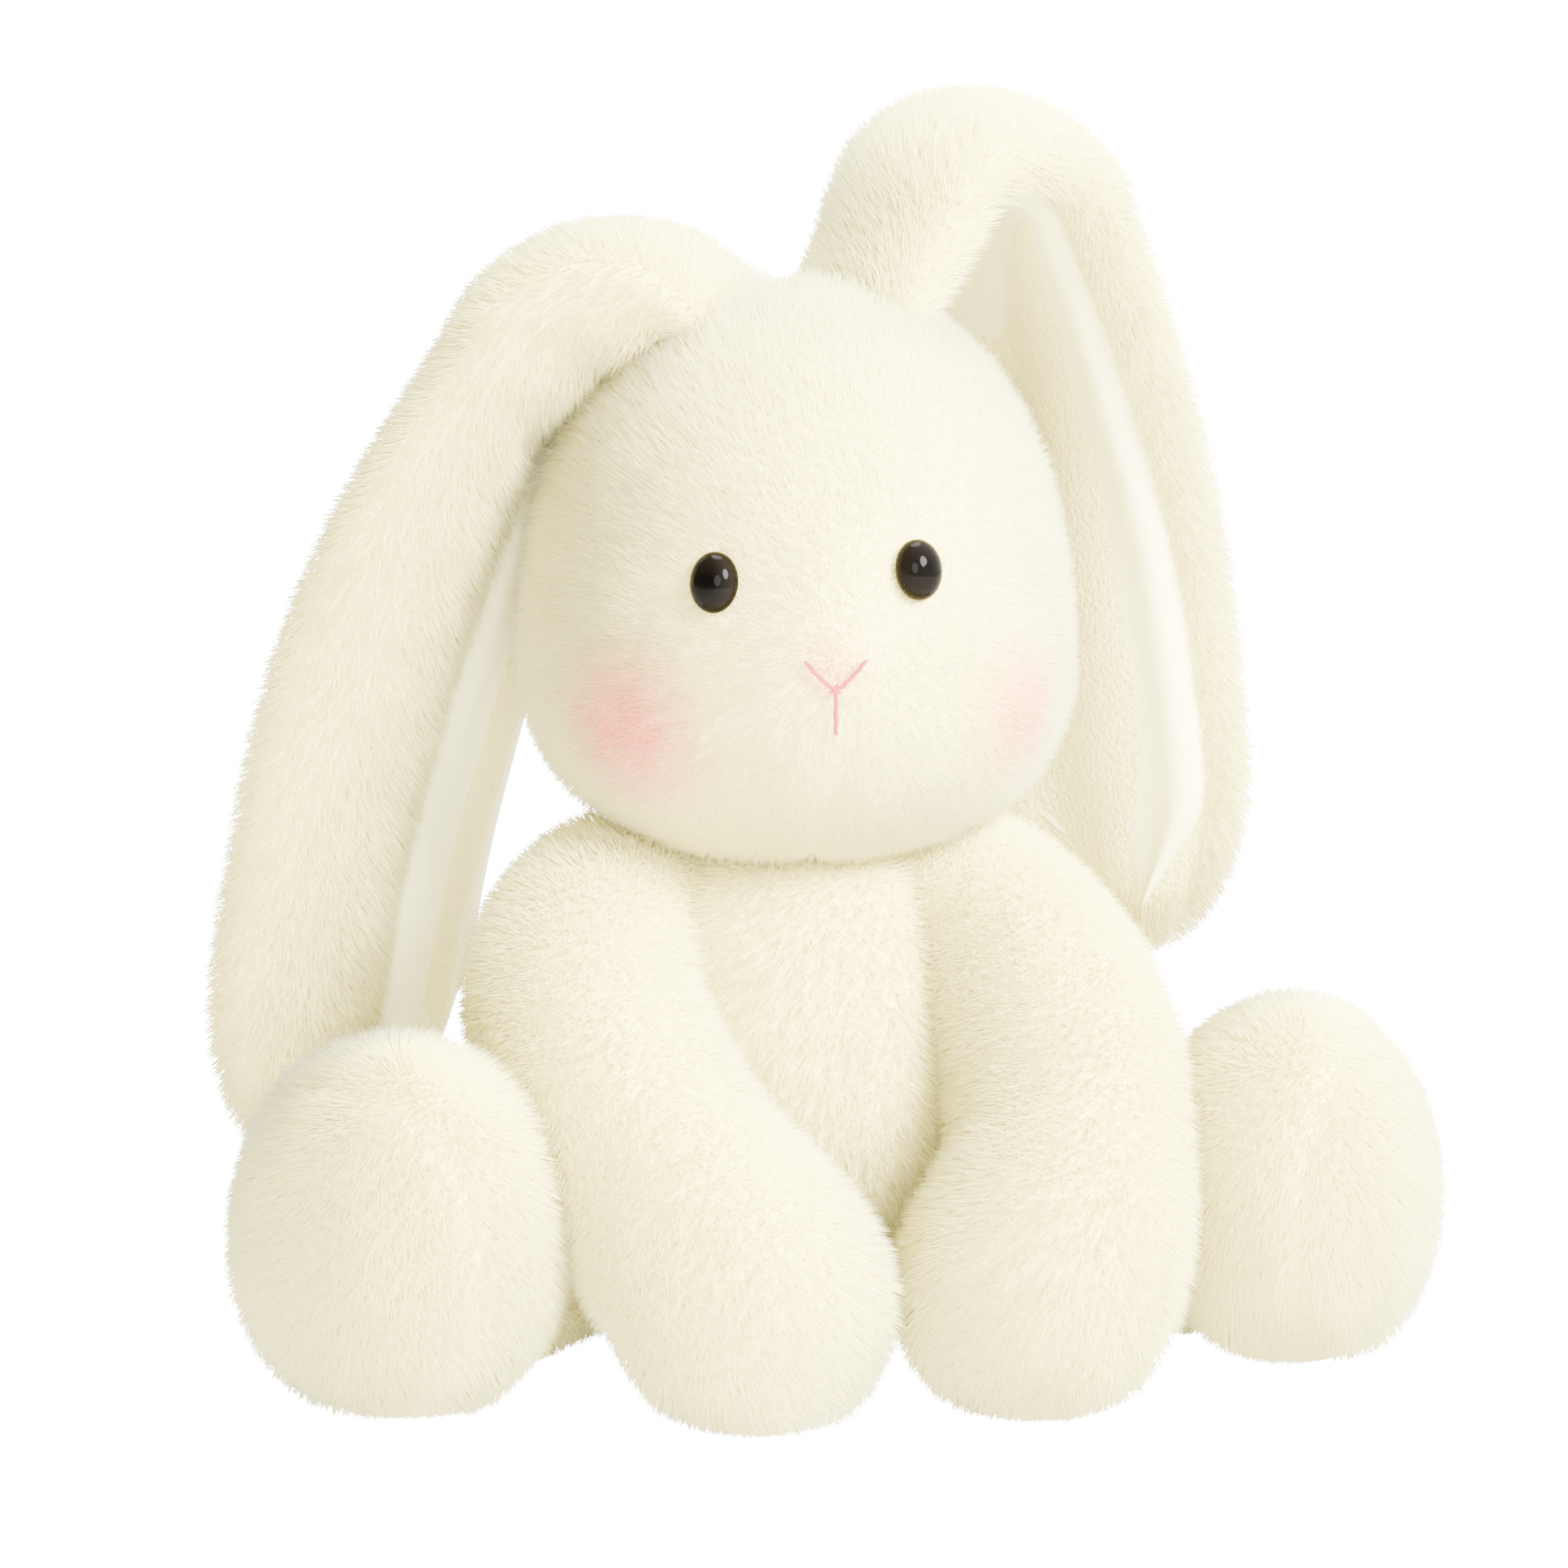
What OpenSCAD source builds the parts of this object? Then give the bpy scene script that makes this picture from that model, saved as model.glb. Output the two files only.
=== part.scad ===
// Sitting plush rabbit with long floppy ears.
// The rabbit faces -Y, its own left is +X and +Z is up. The origin is the middle of its flat seat.

/* [Torso] */
// Widest diameter of the belly
belly_d = 100; // [88:1:116]
// Height of the widest part of the belly above the seat
belly_z = 45; // [38:1:52]
// Height of the top of the shoulders, where the torso closes under the neck
torso_h = 123; // [115:1:132]
// Thickness of the fur fabric, backing and pile root together
skin_t = 1.8; // [1.2:0.1:2.6]
// Diameter of the bean pouch sewn inside the seat
seat_pouch_d = 62; // [48:1:70]
// Thickness of the bean pouch in the seat
seat_pouch_h = 16; // [10:1:22]

/* [Head] */
// Diameter of the head across the cheeks
head_d = 132; // [118:1:146]
// Height of the head above its widest level
crown_h = 89; // [80:1:100]
// Height of the head below its widest level
jaw_h = 46; // [40:1:54]
// Height of the widest level of the head above the seat
cheek_z = 165; // [158:1:175]
// Distance that the head sits forward of the neck
head_forward = 3; // [0:1:8]

/* [Neck] */
// Diameter of the ball of stuffing that fills the neck
neck_d = 48; // [40:1:56]
// Height of the neck's centre above the seat
neck_z = 119; // [114:1:126]

/* [Face] */
// Height of an eye
eye_h = 14; // [11:0.5:19]
// Width of an eye
eye_w = 11; // [9:0.5:16]
// How far an eye's dome stands out of the fabric
eye_rise = 4.5; // [3:0.5:7]
// Angle of each eye from the middle of the face
eye_angle = 22; // [18:1:30]
// Angle that the nose is turned to the rabbit's right
nose_turn = 3; // [0:0.5:8]
// Angle that the eyes are turned to the rabbit's right
eye_turn = 6; // [0:0.5:9]
// How much higher the left eye sits than the right one
eye_tilt = 2.4; // [0:0.2:4]
// Height of the eyes above the seat
eye_z = 194; // [186:1:202]
// Diameter of an eye's locking washer
eye_washer_d = 14; // [11:1:18]
// Diameter of an eye's moulded stem
eye_stem_d = 4; // [3:0.5:6]
// Length of an eye's stem behind the fabric
eye_stem_l = 9; // [7:0.5:14]
// Height of the middle of the embroidered nose
nose_z = 168; // [160:1:176]
// Width of the embroidered nose
nose_w = 13; // [10:1:22]
// Height of the V of the nose
nose_v_h = 6; // [4:0.5:9]
// Length of the stem of the mouth under the nose
mouth_l = 9; // [6:1:16]
// Thickness of the embroidery's thread
thread_d = 1.4; // [1:0.1:2]

/* [Arms] */
// How far inside the side of the belly each shoulder's middle is
shoulder_in = 3; // [-4:1:7]
// Height of each shoulder above the seat
shoulder_z = 99; // [92:1:104]
// Diameter of the top of an arm
shoulder_d = 42; // [36:1:46]
// Diameter of an arm at its wrist
wrist_d = 46; // [40:1:52]
// Diameter of a paw
paw_d = 58; // [50:1:62]
// Distance of the left paw's middle from the middle of the body
left_paw_x = 39; // [35:1:44]
// Distance of the right paw's middle from the middle of the body
right_paw_x = 27; // [25:1:42]
// Distance of the paws' middles in front of the belly
paw_ahead = 46; // [38:1:58]

/* [Legs] */
// How far inside the side of the belly each hip's middle is
hip_in = 6; // [0:1:10]
// Height of each hip above the seat
hip_z = 26; // [24:1:34]
// Diameter of the top of a leg
hip_d = 44; // [36:1:46]
// Diameter of a leg at its ankle
ankle_d = 38; // [32:1:42]
// Angle of the left leg from straight ahead
left_splay = 53; // [46:1:60]
// Angle of the right leg from straight ahead
right_splay = 47; // [43:1:60]
// Length of a leg from hip to ankle
leg_l = 57; // [50:1:70]

/* [Feet] */
// Distance from the ankle to the middle of the foot
foot_ahead = 29; // [26:1:34]
// Thickness of a foot from heel to sole
foot_t = 56; // [48:1:64]
// Width of a foot
foot_w = 80; // [70:1:90]
// Height of a foot from heel to toe
foot_h = 86; // [76:1:96]
// Angle that the toes lean back from upright
foot_lean = 8; // [0:1:14]
// Diameter of the bean pouch inside a heel
foot_pouch_d = 34; // [24:1:38]

/* [Ears] */
// Half of the widest part of an ear
ear_half_w = 41; // [32:1:44]
// Half of an ear's width where it is pleated into the head
ear_root_half_w = 22; // [18:1:26]
// Thickness of the rounded back of an ear
ear_back_t = 14; // [9:1:16]
// Thickness of the padded rims on the lining side
ear_front_t = 9; // [6:1:11]
// Depth of the hollow between the rims of the lining
ear_hollow = 9; // [5:1:11]
// Part of the ear's half width that its smooth lining covers
lining_share = 0.64; // [0.5:0.02:0.76]
// Thickness of the lining fabric
lining_t = 1.2; // [0.8:0.1:1.6]
// Diameter of the stuffed roll that an ear bends on
knuckle_d = 14; // [11:0.5:16]
// Gap that lets an ear bend on its roll
bend_gap = 5; // [4:0.5:8]

/* [Tail] */
// Diameter of the tail
tail_d = 40; // [32:1:48]
// Height of the tail's middle above the seat
tail_z = 26; // [24:1:34]

/* [Label] */
// Width of the blank sewn-in label
label_w = 16; // [12:1:22]
// Length of the label that hangs out of the seam
label_l = 24; // [18:1:32]

/* [Fits] */
// Gap around every stuffed ball and roll
play = 0.6; // [0.4:0.1:1]
// Gap between the stuffing and the fabric around it
slack = 0.2; // [0.1:0.05:0.4]

/* [Hidden] */
left = 1;
right = -1;
ivory = [0.96, 0.95, 0.89];
satin = [0.99, 0.98, 0.93];
fibre = [0.93, 0.94, 0.95];
bean_cloth = [0.80, 0.82, 0.84];
pink = [0.93, 0.55, 0.58];

// Shapes of the rounded outlines
head_power = 2.3;
seat_drop = 60;
steps = 14;
loft_sides = 18;
round_fn = 96;

// Places that more than one piece uses
neck = [0, 0, neck_z];
neck_r = neck_d / 2;
head_mid = [0, -head_forward, cheek_z];
shoulder_y = -8;
hip_y = -8;
torso_mid_r = belly_d / 2;
floor_gap = 1.2;
floor_rest = 0.1;
function paw_x(side) = side == left ? left_paw_x : right_paw_x;
function splay(side) = side == left ? left_splay : right_splay;
function leg_dir(side) = [sin(splay(side)), -cos(splay(side)), 0];
shoulder = [belly_d / 2 - shoulder_in, shoulder_y, shoulder_z];
hip = [belly_d / 2 - hip_in, hip_y, hip_z];
paw_forward = belly_d / 2 + paw_ahead;
function ankle(side) = hip + leg_dir(side) * leg_l + [0, 0, ankle_z - hip_z];
function foot_mid(side) = ankle(side) + leg_dir(side) * foot_ahead + [0, 0, foot_mid_z - ankle_z];
ankle_z = ankle_d / 2 + floor_gap + 2.5;
foot_mid_z = floor_rest + norm([foot_h / 2 * cos(foot_lean), foot_t / 2 * sin(foot_lean)]);
wrist_at = 0.62;
paw_mid_z = paw_d / 2;

// Small helpers
function unit(v) = v / norm(v);
function mix(a, b, t) = a + (b - a) * t;
function ease(t) = let (c = min(max(t, 0), 1)) c * c * (3 - 2 * c);
function bezier(p, t) =
    p[0] * pow(1 - t, 3) + p[1] * 3 * t * pow(1 - t, 2)
    + p[2] * 3 * t * t * (1 - t) + p[3] * pow(t, 3);

// Everything that comes in pairs is described on the left side, and mirrored for the right
module on_side(side) {
    if (side == left) children();
    else mirror([1, 0, 0]) children();
}

// A closed skin over rings of points. Each ring has the same number of points.
module loft(rings) {
    n = len(rings[0]);
    last = len(rings) - 1;
    points = [for (ring = rings) each ring];
    walls = [
        for (i = [0 : last - 1], j = [0 : n - 1])
            let (k = (j + 1) % n)
            each [
                [i * n + j, (i + 1) * n + k, (i + 1) * n + j],
                [i * n + j, i * n + k, (i + 1) * n + k]
            ]
    ];
    ends = [
        for (j = [0 : n / 2 - 2])
            let (k = n - 1 - j)
            each [
                [j, k - 1, j + 1], [j, k, k - 1],
                [last * n + j, last * n + j + 1, last * n + k - 1],
                [last * n + j, last * n + k - 1, last * n + k]
            ]
    ];
    polyhedron(points, concat(walls, ends), convexity = 6);
}

// An upright solid of revolution, wide at its middle, with superellipse quarters up and down
module egg(r, up, down, power, shrink) {
    outline = [
        for (i = [0 : 2 * steps])
            let (a = -90 + 90 * i / steps, h = (a < 0 ? down : up) - shrink)
            [(r - shrink) * pow(cos(a), 2 / power), h * sign(a) * pow(abs(sin(a)), 2 / power)]
    ];
    rotate_extrude($fn = round_fn) polygon(outline);
}

// Torso
module torso_solid(shrink) {
    difference() {
        translate([0, 0, belly_z]) egg(torso_mid_r, torso_h - belly_z, seat_drop, 2, shrink);
        translate([0, 0, shrink - 100]) cube([400, 400, 200], center = true);
    }
}
module torso_pockets() {
    translate(neck) sphere(r = neck_r + play, $fn = round_fn);
    for (side = [left, right]) on_side(side) {
        translate(shoulder) sphere(d = shoulder_d + 2 * play, $fn = round_fn);
        translate(hip) sphere(d = hip_d + 2 * play, $fn = round_fn);
    }
}
module torso_skin() color(ivory) {
    difference() {
        torso_solid(0);
        torso_solid(skin_t);
        torso_pockets();
    }
}
module torso_stuffing() color(fibre) {
    difference() {
        torso_solid(skin_t + slack);
        torso_pockets();
        seat_pouch_solid(slack);
    }
}
module seat_pouch_solid(grow) {
    translate([0, 0, skin_t + 2 * slack + 1 - grow]) pouch(seat_pouch_d + 2 * grow, seat_pouch_h + 2 * grow);
}
module seat_bean_pouch() color(bean_cloth) difference() {
    seat_pouch_solid(0);
    torso_pockets();
}

// A bean pouch: a thick disc with a rounded rim
module pouch(d, h) {
    rotate_extrude($fn = round_fn) {
        square([d / 2 - h / 2, h]);
        translate([d / 2 - h / 2, h / 2]) intersection() {
            circle(d = h, $fn = 32);
            translate([0, -h / 2]) square([h, h]);
        }
    }
}

// Tail and label, on the back of the torso
torso_back = torso_mid_r * sqrt(1 - pow((belly_z - tail_z) / seat_drop, 2));
tail_sink = 1.3;
tail_mid = [0, torso_mid_r + slack + tail_d / 2 - tail_sink, tail_z];
module tail_solid(shrink) translate(tail_mid) sphere(d = tail_d - 2 * shrink, $fn = round_fn);
module tail_skin() color(ivory) difference() {
    tail_solid(0);
    tail_solid(skin_t);
}
module tail_stuffing() color(fibre) tail_solid(skin_t + slack);
label_t = 0.6;
label_angle = 52;
// The torso is widest a little above the label's middle
label_clear = 1.85;
module blank_label() color("white") {
    rotate([0, 0, label_angle]) translate([-label_t / 2, torso_back + label_clear, tail_z - label_w / 2])
        cube([label_t, label_l, label_w]);
}

// Neck
module neck_stuffing() color(fibre) translate(neck) sphere(r = neck_r, $fn = round_fn);

// Head
module head_solid(shrink) {
    translate(head_mid) egg(head_d / 2, crown_h, jaw_h, head_power, shrink);
}
module head_pockets() {
    translate(neck) sphere(r = neck_r + play, $fn = round_fn);
    for (side = [left, right]) on_side(side)
        ear_roll(side, 0, ear_root_roll_d + 2 * play, 2 * ear_root_half_w + 2 * play);
}
module head_skin() color(ivory) {
    difference() {
        head_solid(0);
        head_solid(skin_t);
        head_pockets();
        for (side = [left, right]) eye_place(side) translate([0, 0, -skin_t * 2])
            cylinder(d = eye_stem_d + slack, h = skin_t * 4, $fn = 48);
    }
}
module head_stuffing() color(fibre) {
    difference() {
        head_solid(skin_t + slack);
        head_pockets();
        for (side = [left, right]) {
            eye_place(side) translate([0, 0, -eye_stem_l - slack])
                cylinder(d = eye_stem_d + 2 * slack, h = 2 * eye_stem_l, $fn = 48);
            eye_place(side) translate([0, 0, -washer_back - slack])
                cylinder(d = eye_washer_d + 2 * slack, h = washer_t + 2 * slack, $fn = 48);
        }
    }
}

// Face. The front of the head at a height, and at an angle from the middle of the face.
function head_share(z) =
    let (h = z > cheek_z ? crown_h : jaw_h)
    pow(1 - pow(abs(z - cheek_z) / h, head_power), 1 / head_power);
function face_point(angle, z) = [
    head_d / 2 * head_share(z) * sin(angle),
    -head_forward - head_d / 2 * head_share(z) * cos(angle),
    z
];
washer_t = 2;
washer_back = skin_t + slack + 3 + washer_t;
eye_lift = 12;
module eye_place(side) {
    angle = side * eye_angle - eye_turn;
    translate(face_point(angle, eye_z + side * eye_tilt / 2)) rotate([90 - eye_lift, 0, angle]) children();
}
// The domes stand just clear of the curved skin, on their stems
eye_seat = 0.5;
module eye(side) color([0.08, 0.06, 0.05]) eye_place(side) {
    translate([0, 0, eye_seat]) intersection() {
        scale([eye_w / eye_h, 1, eye_rise * 2 / eye_h]) sphere(d = eye_h, $fn = 48);
        translate([0, 0, eye_h / 2]) cube(eye_h, center = true);
    }
    translate([0, 0, -eye_stem_l]) cylinder(d = eye_stem_d, h = eye_stem_l + 1, $fn = 48);
}
module eye_washer(side) color("white") eye_place(side) translate([0, 0, -washer_back]) difference() {
    cylinder(d = eye_washer_d, h = washer_t, $fn = 48);
    translate([0, 0, -1]) cylinder(d = eye_stem_d + slack, h = washer_t + 2, $fn = 48);
}
module stitch(from, to) {
    hull() for (p = [from, to]) translate(p) sphere(d = thread_d, $fn = 12);
}
module nose_embroidery() color(pink) {
    out = [0, -thread_d / 2 - 0.1, 0];
    middle = face_point(-nose_turn, nose_z) + out;
    for (side = [left, right])
        stitch(middle, face_point(side * asin(nose_w / head_d) - nose_turn, nose_z + nose_v_h) + out);
    stitch(middle, face_point(-nose_turn, nose_z - mouth_l) + out);
}

// Ears. Each ear leaves the head, bends over an arc and hangs straight down.
// [root, rise angle, rise length, bend radius, angle where the hang starts and where it ends,
//  hang length, heading, sideways lean, twist at the root, twist at the tip]
left_ear = [[17, 9, 247], 62, 35, 16, 80, 84, 186, 12, 0.03, 12, 48];
right_ear = [[19, 9, 249], 32, 8, 25, 65, 88, 214, -4, 0.17, 34, 54];
root_rings = 7;
flap_rings = 20;
tip_share = 0.24;
root_swell = 0.6;
swell_over = 40;
ear_root_roll_d = 20;
ear_root_roll_half = ear_root_half_w - 5;
function ear(side) = side == left ? left_ear : right_ear;
function bend_length(e) = (e[1] + e[4]) * PI / 180 * e[3];
function ear_length(e) = e[2] + bend_length(e) + e[6];
function past_bend(e, s) = max(s - e[2] - bend_length(e), 0);
function bend_angle(e, s) = e[1] - (e[1] + e[4]) * min(max((s - e[2]) / bend_length(e), 0), 1);
function hang_angle(e, s) = e[4] + (e[5] - e[4]) * past_bend(e, s) / e[6];
// Place along the ear in its own upright plane, [outward, up]: a rise, a bend and a slower curve down
function ear_plane(e, s) =
    let (a = bend_angle(e, s), h = hang_angle(e, s), hang_r = e[6] * 180 / PI / (e[5] - e[4]))
    min(s, e[2]) * [cos(e[1]), sin(e[1])]
    + e[3] * [sin(e[1]) - sin(a), cos(a) - cos(e[1])]
    + hang_r * [sin(h) - sin(e[4]), cos(h) - cos(e[4])];
function ear_point(side, s) =
    let (e = ear(side), p = ear_plane(e, s))
    e[0] + [p[0] * cos(e[7]), p[0] * sin(e[7]) + past_bend(e, s) * e[8], p[1]];
function ear_along(side, s) = unit(ear_point(side, s + 0.5) - ear_point(side, s - 0.5));
// Direction of the ear's width, towards the front rim
function ear_across(side, s) =
    let (e = ear(side), turn = mix(e[9], e[10], ease((s - e[2]) / (ear_length(e) - e[2]) * 1.6)))
    let (w = [sin(turn), -cos(turn), 0], t = ear_along(side, s))
    unit(w - t * (w * t));
// Direction that the lining faces
function ear_facing(side, s) = cross(ear_along(side, s), ear_across(side, s));
function ear_half_width(side, s) =
    let (t = s / ear_length(ear(side)))
    mix(ear_root_half_w, ear_half_w, ease(t / 0.62))
    * sqrt(max(1 - pow(max((t - 1 + tip_share) / tip_share, 0), 2.4), 0.004));
function ear_swell(side, s) =
    let (t = s / ear_length(ear(side)))
    mix(root_swell, 1, ease(s / swell_over))
    * sqrt(max(1 - pow(max((t - 1 + tip_share / 2) / tip_share * 2, 0), 2.4), 0.01));
// Height of the lining side at u, a part of the half width
function lining_height(u) = ear_front_t * sqrt(max(1 - pow(u, 4), 0)) - ear_hollow * exp(-pow(u / 0.4, 2));
function back_height(u) = -ear_back_t * sqrt(max(1 - u * u, 0));
function ear_spot(side, s, u, v) =
    ear_point(side, s) + ear_across(side, s) * (u * ear_half_width(side, s))
    + ear_facing(side, s) * (v * ear_swell(side, s));
// A ring between two layers of the ear. `over` and `under` are lists of [u, v].
function ear_ring(side, s, over, under) = [
    for (p = over) ear_spot(side, s, p[0], p[1]),
    for (i = [len(under) - 1 : -1 : 0]) ear_spot(side, s, under[i][0], under[i][1])
];
// Places along the root and the flap where every layer's outline is taken
function root_places(side) = [for (i = [0 : root_rings]) mix(root_start, bend_at(side), i / root_rings)];
function flap_places(side) = [
    for (i = [0 : flap_rings])
        let (t = i / flap_rings)
        mix(bend_at(side) + bend_gap, ear_length(ear(side)) - 0.5, t * (1.3 - 0.3 * t))
];
function between(from, to, places) = concat([from], [for (s = places) if (s > from + 0.4 && s < to - 0.4) s], [to]);
// Outline of the fur: from one lining seam, round the back, to the other lining seam
seam_turn = acos(lining_share);
function fur_outline(shrink) = [
    for (i = [0 : loft_sides])
        let (a = seam_turn - (180 + 2 * seam_turn) * i / loft_sides)
        let (u = cos(a), v = a > 0 || a < -180 ? lining_height(u) : back_height(u))
        [u * (1 - shrink / ear_half_w), v - shrink * sign(v) * min(1, abs(v) / 3)]
];
function lining_outline(shrink) = [
    for (i = [0 : 10])
        let (u = lining_share * 0.97 * (2 * i / 10 - 1))
        [u, lining_height(u) - shrink]
];
function wadding_front(inset) = [
    for (i = [0 : loft_sides]) let (u = lining_share * 0.93 * (1 - 2 * i / loft_sides)) [u, lining_height(u) - inset]
];
module ear_back(side, places) {
    loft([for (s = places) ear_ring(side, s, fur_outline(0), fur_outline(skin_t))]);
}
module ear_lining(side, places) {
    loft([for (s = places) ear_ring(side, s, lining_outline(0), lining_outline(lining_t))]);
}
module ear_wadding(side, places) {
    inset = skin_t + slack;
    loft([for (s = places) ear_ring(side, s, fur_outline(inset), wadding_front(inset))]);
}
// Where each ear bends: the top of its arc
function bend_at(side) =
    let (e = ear(side)) e[2] + bend_length(e) * e[1] / (e[1] + e[4]);
// A roll across the ear at s
module ear_roll(side, s, d, l) {
    a = ear_across(side, s);
    translate(ear_point(side, s)) rotate([0, 0, atan2(a[1], a[0])]) rotate([0, 90, 0])
        cylinder(d = d, h = l, center = true, $fn = round_fn);
}
function knuckle_half(side) = ear_half_width(side, bend_at(side)) * lining_share - 2;
root_start = ear_root_roll_d / 2 + 3;
// The lining and wadding stop one place short of the tip
function filled_end(side) = flap_places(side)[flap_rings - 1];
knuckle_r = knuckle_d / 2;
module ear_root_back(side) color(ivory) on_side(side) ear_back(side, root_places(side));
module ear_root_lining(side) color(satin) on_side(side)
    ear_lining(side, between(root_start, bend_at(side) - knuckle_r - slack, root_places(side)));
module ear_root_wadding(side) color(fibre) on_side(side) {
    ear_wadding(side, between(ear_root_roll_d / 2 - 1.5, bend_at(side), root_places(side)));
    ear_roll(side, 0, ear_root_roll_d, 2 * ear_root_roll_half);
    ear_roll(side, bend_at(side), knuckle_d, 2 * knuckle_half(side));
}
module ear_flap_back(side) color(ivory) on_side(side) ear_back(side, flap_places(side));
module ear_flap_lining(side) color(satin) on_side(side)
    ear_lining(side, between(bend_at(side) + knuckle_r + play, filled_end(side), flap_places(side)));
module ear_flap_wadding(side) color(fibre) on_side(side) difference() {
    ear_wadding(side, between(bend_at(side) + bend_gap, filled_end(side), flap_places(side)));
    ear_roll(side, bend_at(side), knuckle_d + 2 * play, 200);
}

// Limbs: tubes along a curve, with a ball at the top end
function ring_at(p, along, side_r, up_r, sides) =
    let (across = unit(cross(along, [0, 0, 1])), up = cross(across, along))
    [for (i = [0 : sides - 1]) let (a = 360 * i / sides) p + across * side_r * cos(a) + up * up_r * sin(a)];
// How far each elbow swings out from its shoulder, and how the arm comes down on its paw
left_elbow_out = 27;
right_elbow_out = 29;
elbow_forward = 33;
elbow_drop = 13;
wrist_out = 17;
wrist_back = 12;
wrist_rise = 28;
function arm_curve(side) = [
    shoulder,
    shoulder + [side == left ? left_elbow_out : right_elbow_out, -elbow_forward, -elbow_drop],
    [paw_x(side) + wrist_out, -paw_forward + wrist_back, paw_mid_z + wrist_rise],
    [paw_x(side), -paw_forward, paw_mid_z]
];
// Radius along the arm; past 1 the paw rounds off
function arm_radius(t) =
    t < wrist_at ? mix(shoulder_d / 2 - 3, wrist_d / 2, t / wrist_at)
    : mix(wrist_d / 2, paw_d / 2, ease((t - wrist_at) / (1 - wrist_at)));
function arm_end(side) = unit(arm_curve(side)[3] - arm_curve(side)[2]);
function arm_rings(side, shrink) = [
    for (i = [0 : steps])
        let (t = i / steps, c = arm_curve(side), along = unit(bezier(c, t + 0.01) - bezier(c, t - 0.01)))
        ring_at(bezier(c, t), along, arm_radius(t) - shrink, arm_radius(t) - shrink, loft_sides),
    for (i = [1 : 6])
        let (a = 88 * i / 6, r = paw_d / 2 - shrink)
        ring_at(arm_curve(side)[3] + arm_end(side) * r * sin(a), arm_end(side), r * cos(a), r * cos(a), loft_sides)
];
module arm_solid(side, shrink) {
    loft(arm_rings(side, shrink));
    translate(shoulder) sphere(r = shoulder_d / 2 - shrink, $fn = round_fn);
}
module arm_skin(side) color(ivory) on_side(side) difference() {
    arm_solid(side, 0);
    arm_solid(side, skin_t);
}
module arm_stuffing(side) color(fibre) on_side(side) arm_solid(side, skin_t + slack);

// Legs
// Outline of a leg from the bottom of its hip ball to the end of its ankle ball
hip_ball_share = 130;
function leg_outline(l, shrink) = [
    for (i = [0 : steps])
        let (a = -90 + hip_ball_share * i / steps, r = hip_d / 2 - shrink)
        [r * cos(a), r * sin(a)],
    for (i = [0 : steps])
        let (a = 90 * i / steps, r = ankle_d / 2 - shrink)
        [r * cos(a), l + r * sin(a)]
];
module leg_solid(side, shrink) {
    run = ankle(side) - hip;
    translate(hip) rotate([0, 90 - atan2(run[2], norm([run[0], run[1]])), atan2(run[1], run[0])])
        rotate_extrude($fn = round_fn) polygon(leg_outline(norm(run), shrink));
}
module leg_skin(side) color(ivory) on_side(side) difference() {
    leg_solid(side, 0);
    leg_solid(side, skin_t);
}
module leg_stuffing(side) color(fibre) on_side(side) leg_solid(side, skin_t + slack);

// Feet
module foot_place(side) {
    translate(foot_mid(side)) rotate([0, 0, splay(side)]) rotate([-foot_lean, 0, 0]) children();
}
module foot_solid(side, shrink) foot_place(side)
    scale([foot_w / 2 - shrink, foot_t / 2 - shrink, foot_h / 2 - shrink]) sphere(r = 1, $fn = round_fn);
module ankle_pocket(side) translate(ankle(side)) sphere(d = ankle_d + 2 * play, $fn = round_fn);
module foot_skin(side) color(ivory) on_side(side) difference() {
    foot_solid(side, 0);
    foot_solid(side, skin_t);
    ankle_pocket(side);
}
module foot_pouch_solid(side, grow) {
    translate(foot_mid(side) + leg_dir(side) * foot_pouch_ahead - [0, 0, foot_h * 0.26])
        sphere(d = foot_pouch_d + 2 * grow, $fn = round_fn);
}
foot_pouch_ahead = 2;
module foot_stuffing(side) color(fibre) on_side(side) difference() {
    foot_solid(side, skin_t + slack);
    ankle_pocket(side);
    foot_pouch_solid(side, slack);
}
module foot_bean_pouch(side) color(bean_cloth) on_side(side) difference() {
    foot_pouch_solid(side, 0);
    translate(ankle(side)) sphere(d = ankle_d + 2 * play + 2 * slack, $fn = round_fn);
}

torso_skin();
torso_stuffing();
seat_bean_pouch();
tail_skin();
tail_stuffing();
blank_label();
neck_stuffing();
head_skin();
head_stuffing();
eye(left);  // left_eye
eye(right);  // right_eye
eye_washer(left);  // left_eye_washer
eye_washer(right);  // right_eye_washer
nose_embroidery();
ear_root_back(left);  // left_ear_root_back
ear_root_lining(left);  // left_ear_root_lining
ear_root_wadding(left);  // left_ear_root_wadding
ear_flap_back(left);  // left_ear_flap_back
ear_flap_lining(left);  // left_ear_flap_lining
ear_flap_wadding(left);  // left_ear_flap_wadding
ear_root_back(right);  // right_ear_root_back
ear_root_lining(right);  // right_ear_root_lining
ear_root_wadding(right);  // right_ear_root_wadding
ear_flap_back(right);  // right_ear_flap_back
ear_flap_lining(right);  // right_ear_flap_lining
ear_flap_wadding(right);  // right_ear_flap_wadding
arm_skin(left);  // left_arm_skin
arm_stuffing(left);  // left_arm_stuffing
arm_skin(right);  // right_arm_skin
arm_stuffing(right);  // right_arm_stuffing
leg_skin(left);  // left_leg_skin
leg_stuffing(left);  // left_leg_stuffing
leg_skin(right);  // right_leg_skin
leg_stuffing(right);  // right_leg_stuffing
foot_skin(left);  // left_foot_skin
foot_stuffing(left);  // left_foot_stuffing
foot_bean_pouch(left);  // left_foot_bean_pouch
foot_skin(right);  // right_foot_skin
foot_stuffing(right);  // right_foot_stuffing
foot_bean_pouch(right);  // right_foot_bean_pouch
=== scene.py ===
"""Sitting plush rabbit with long floppy ears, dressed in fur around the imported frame."""
import math

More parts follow.
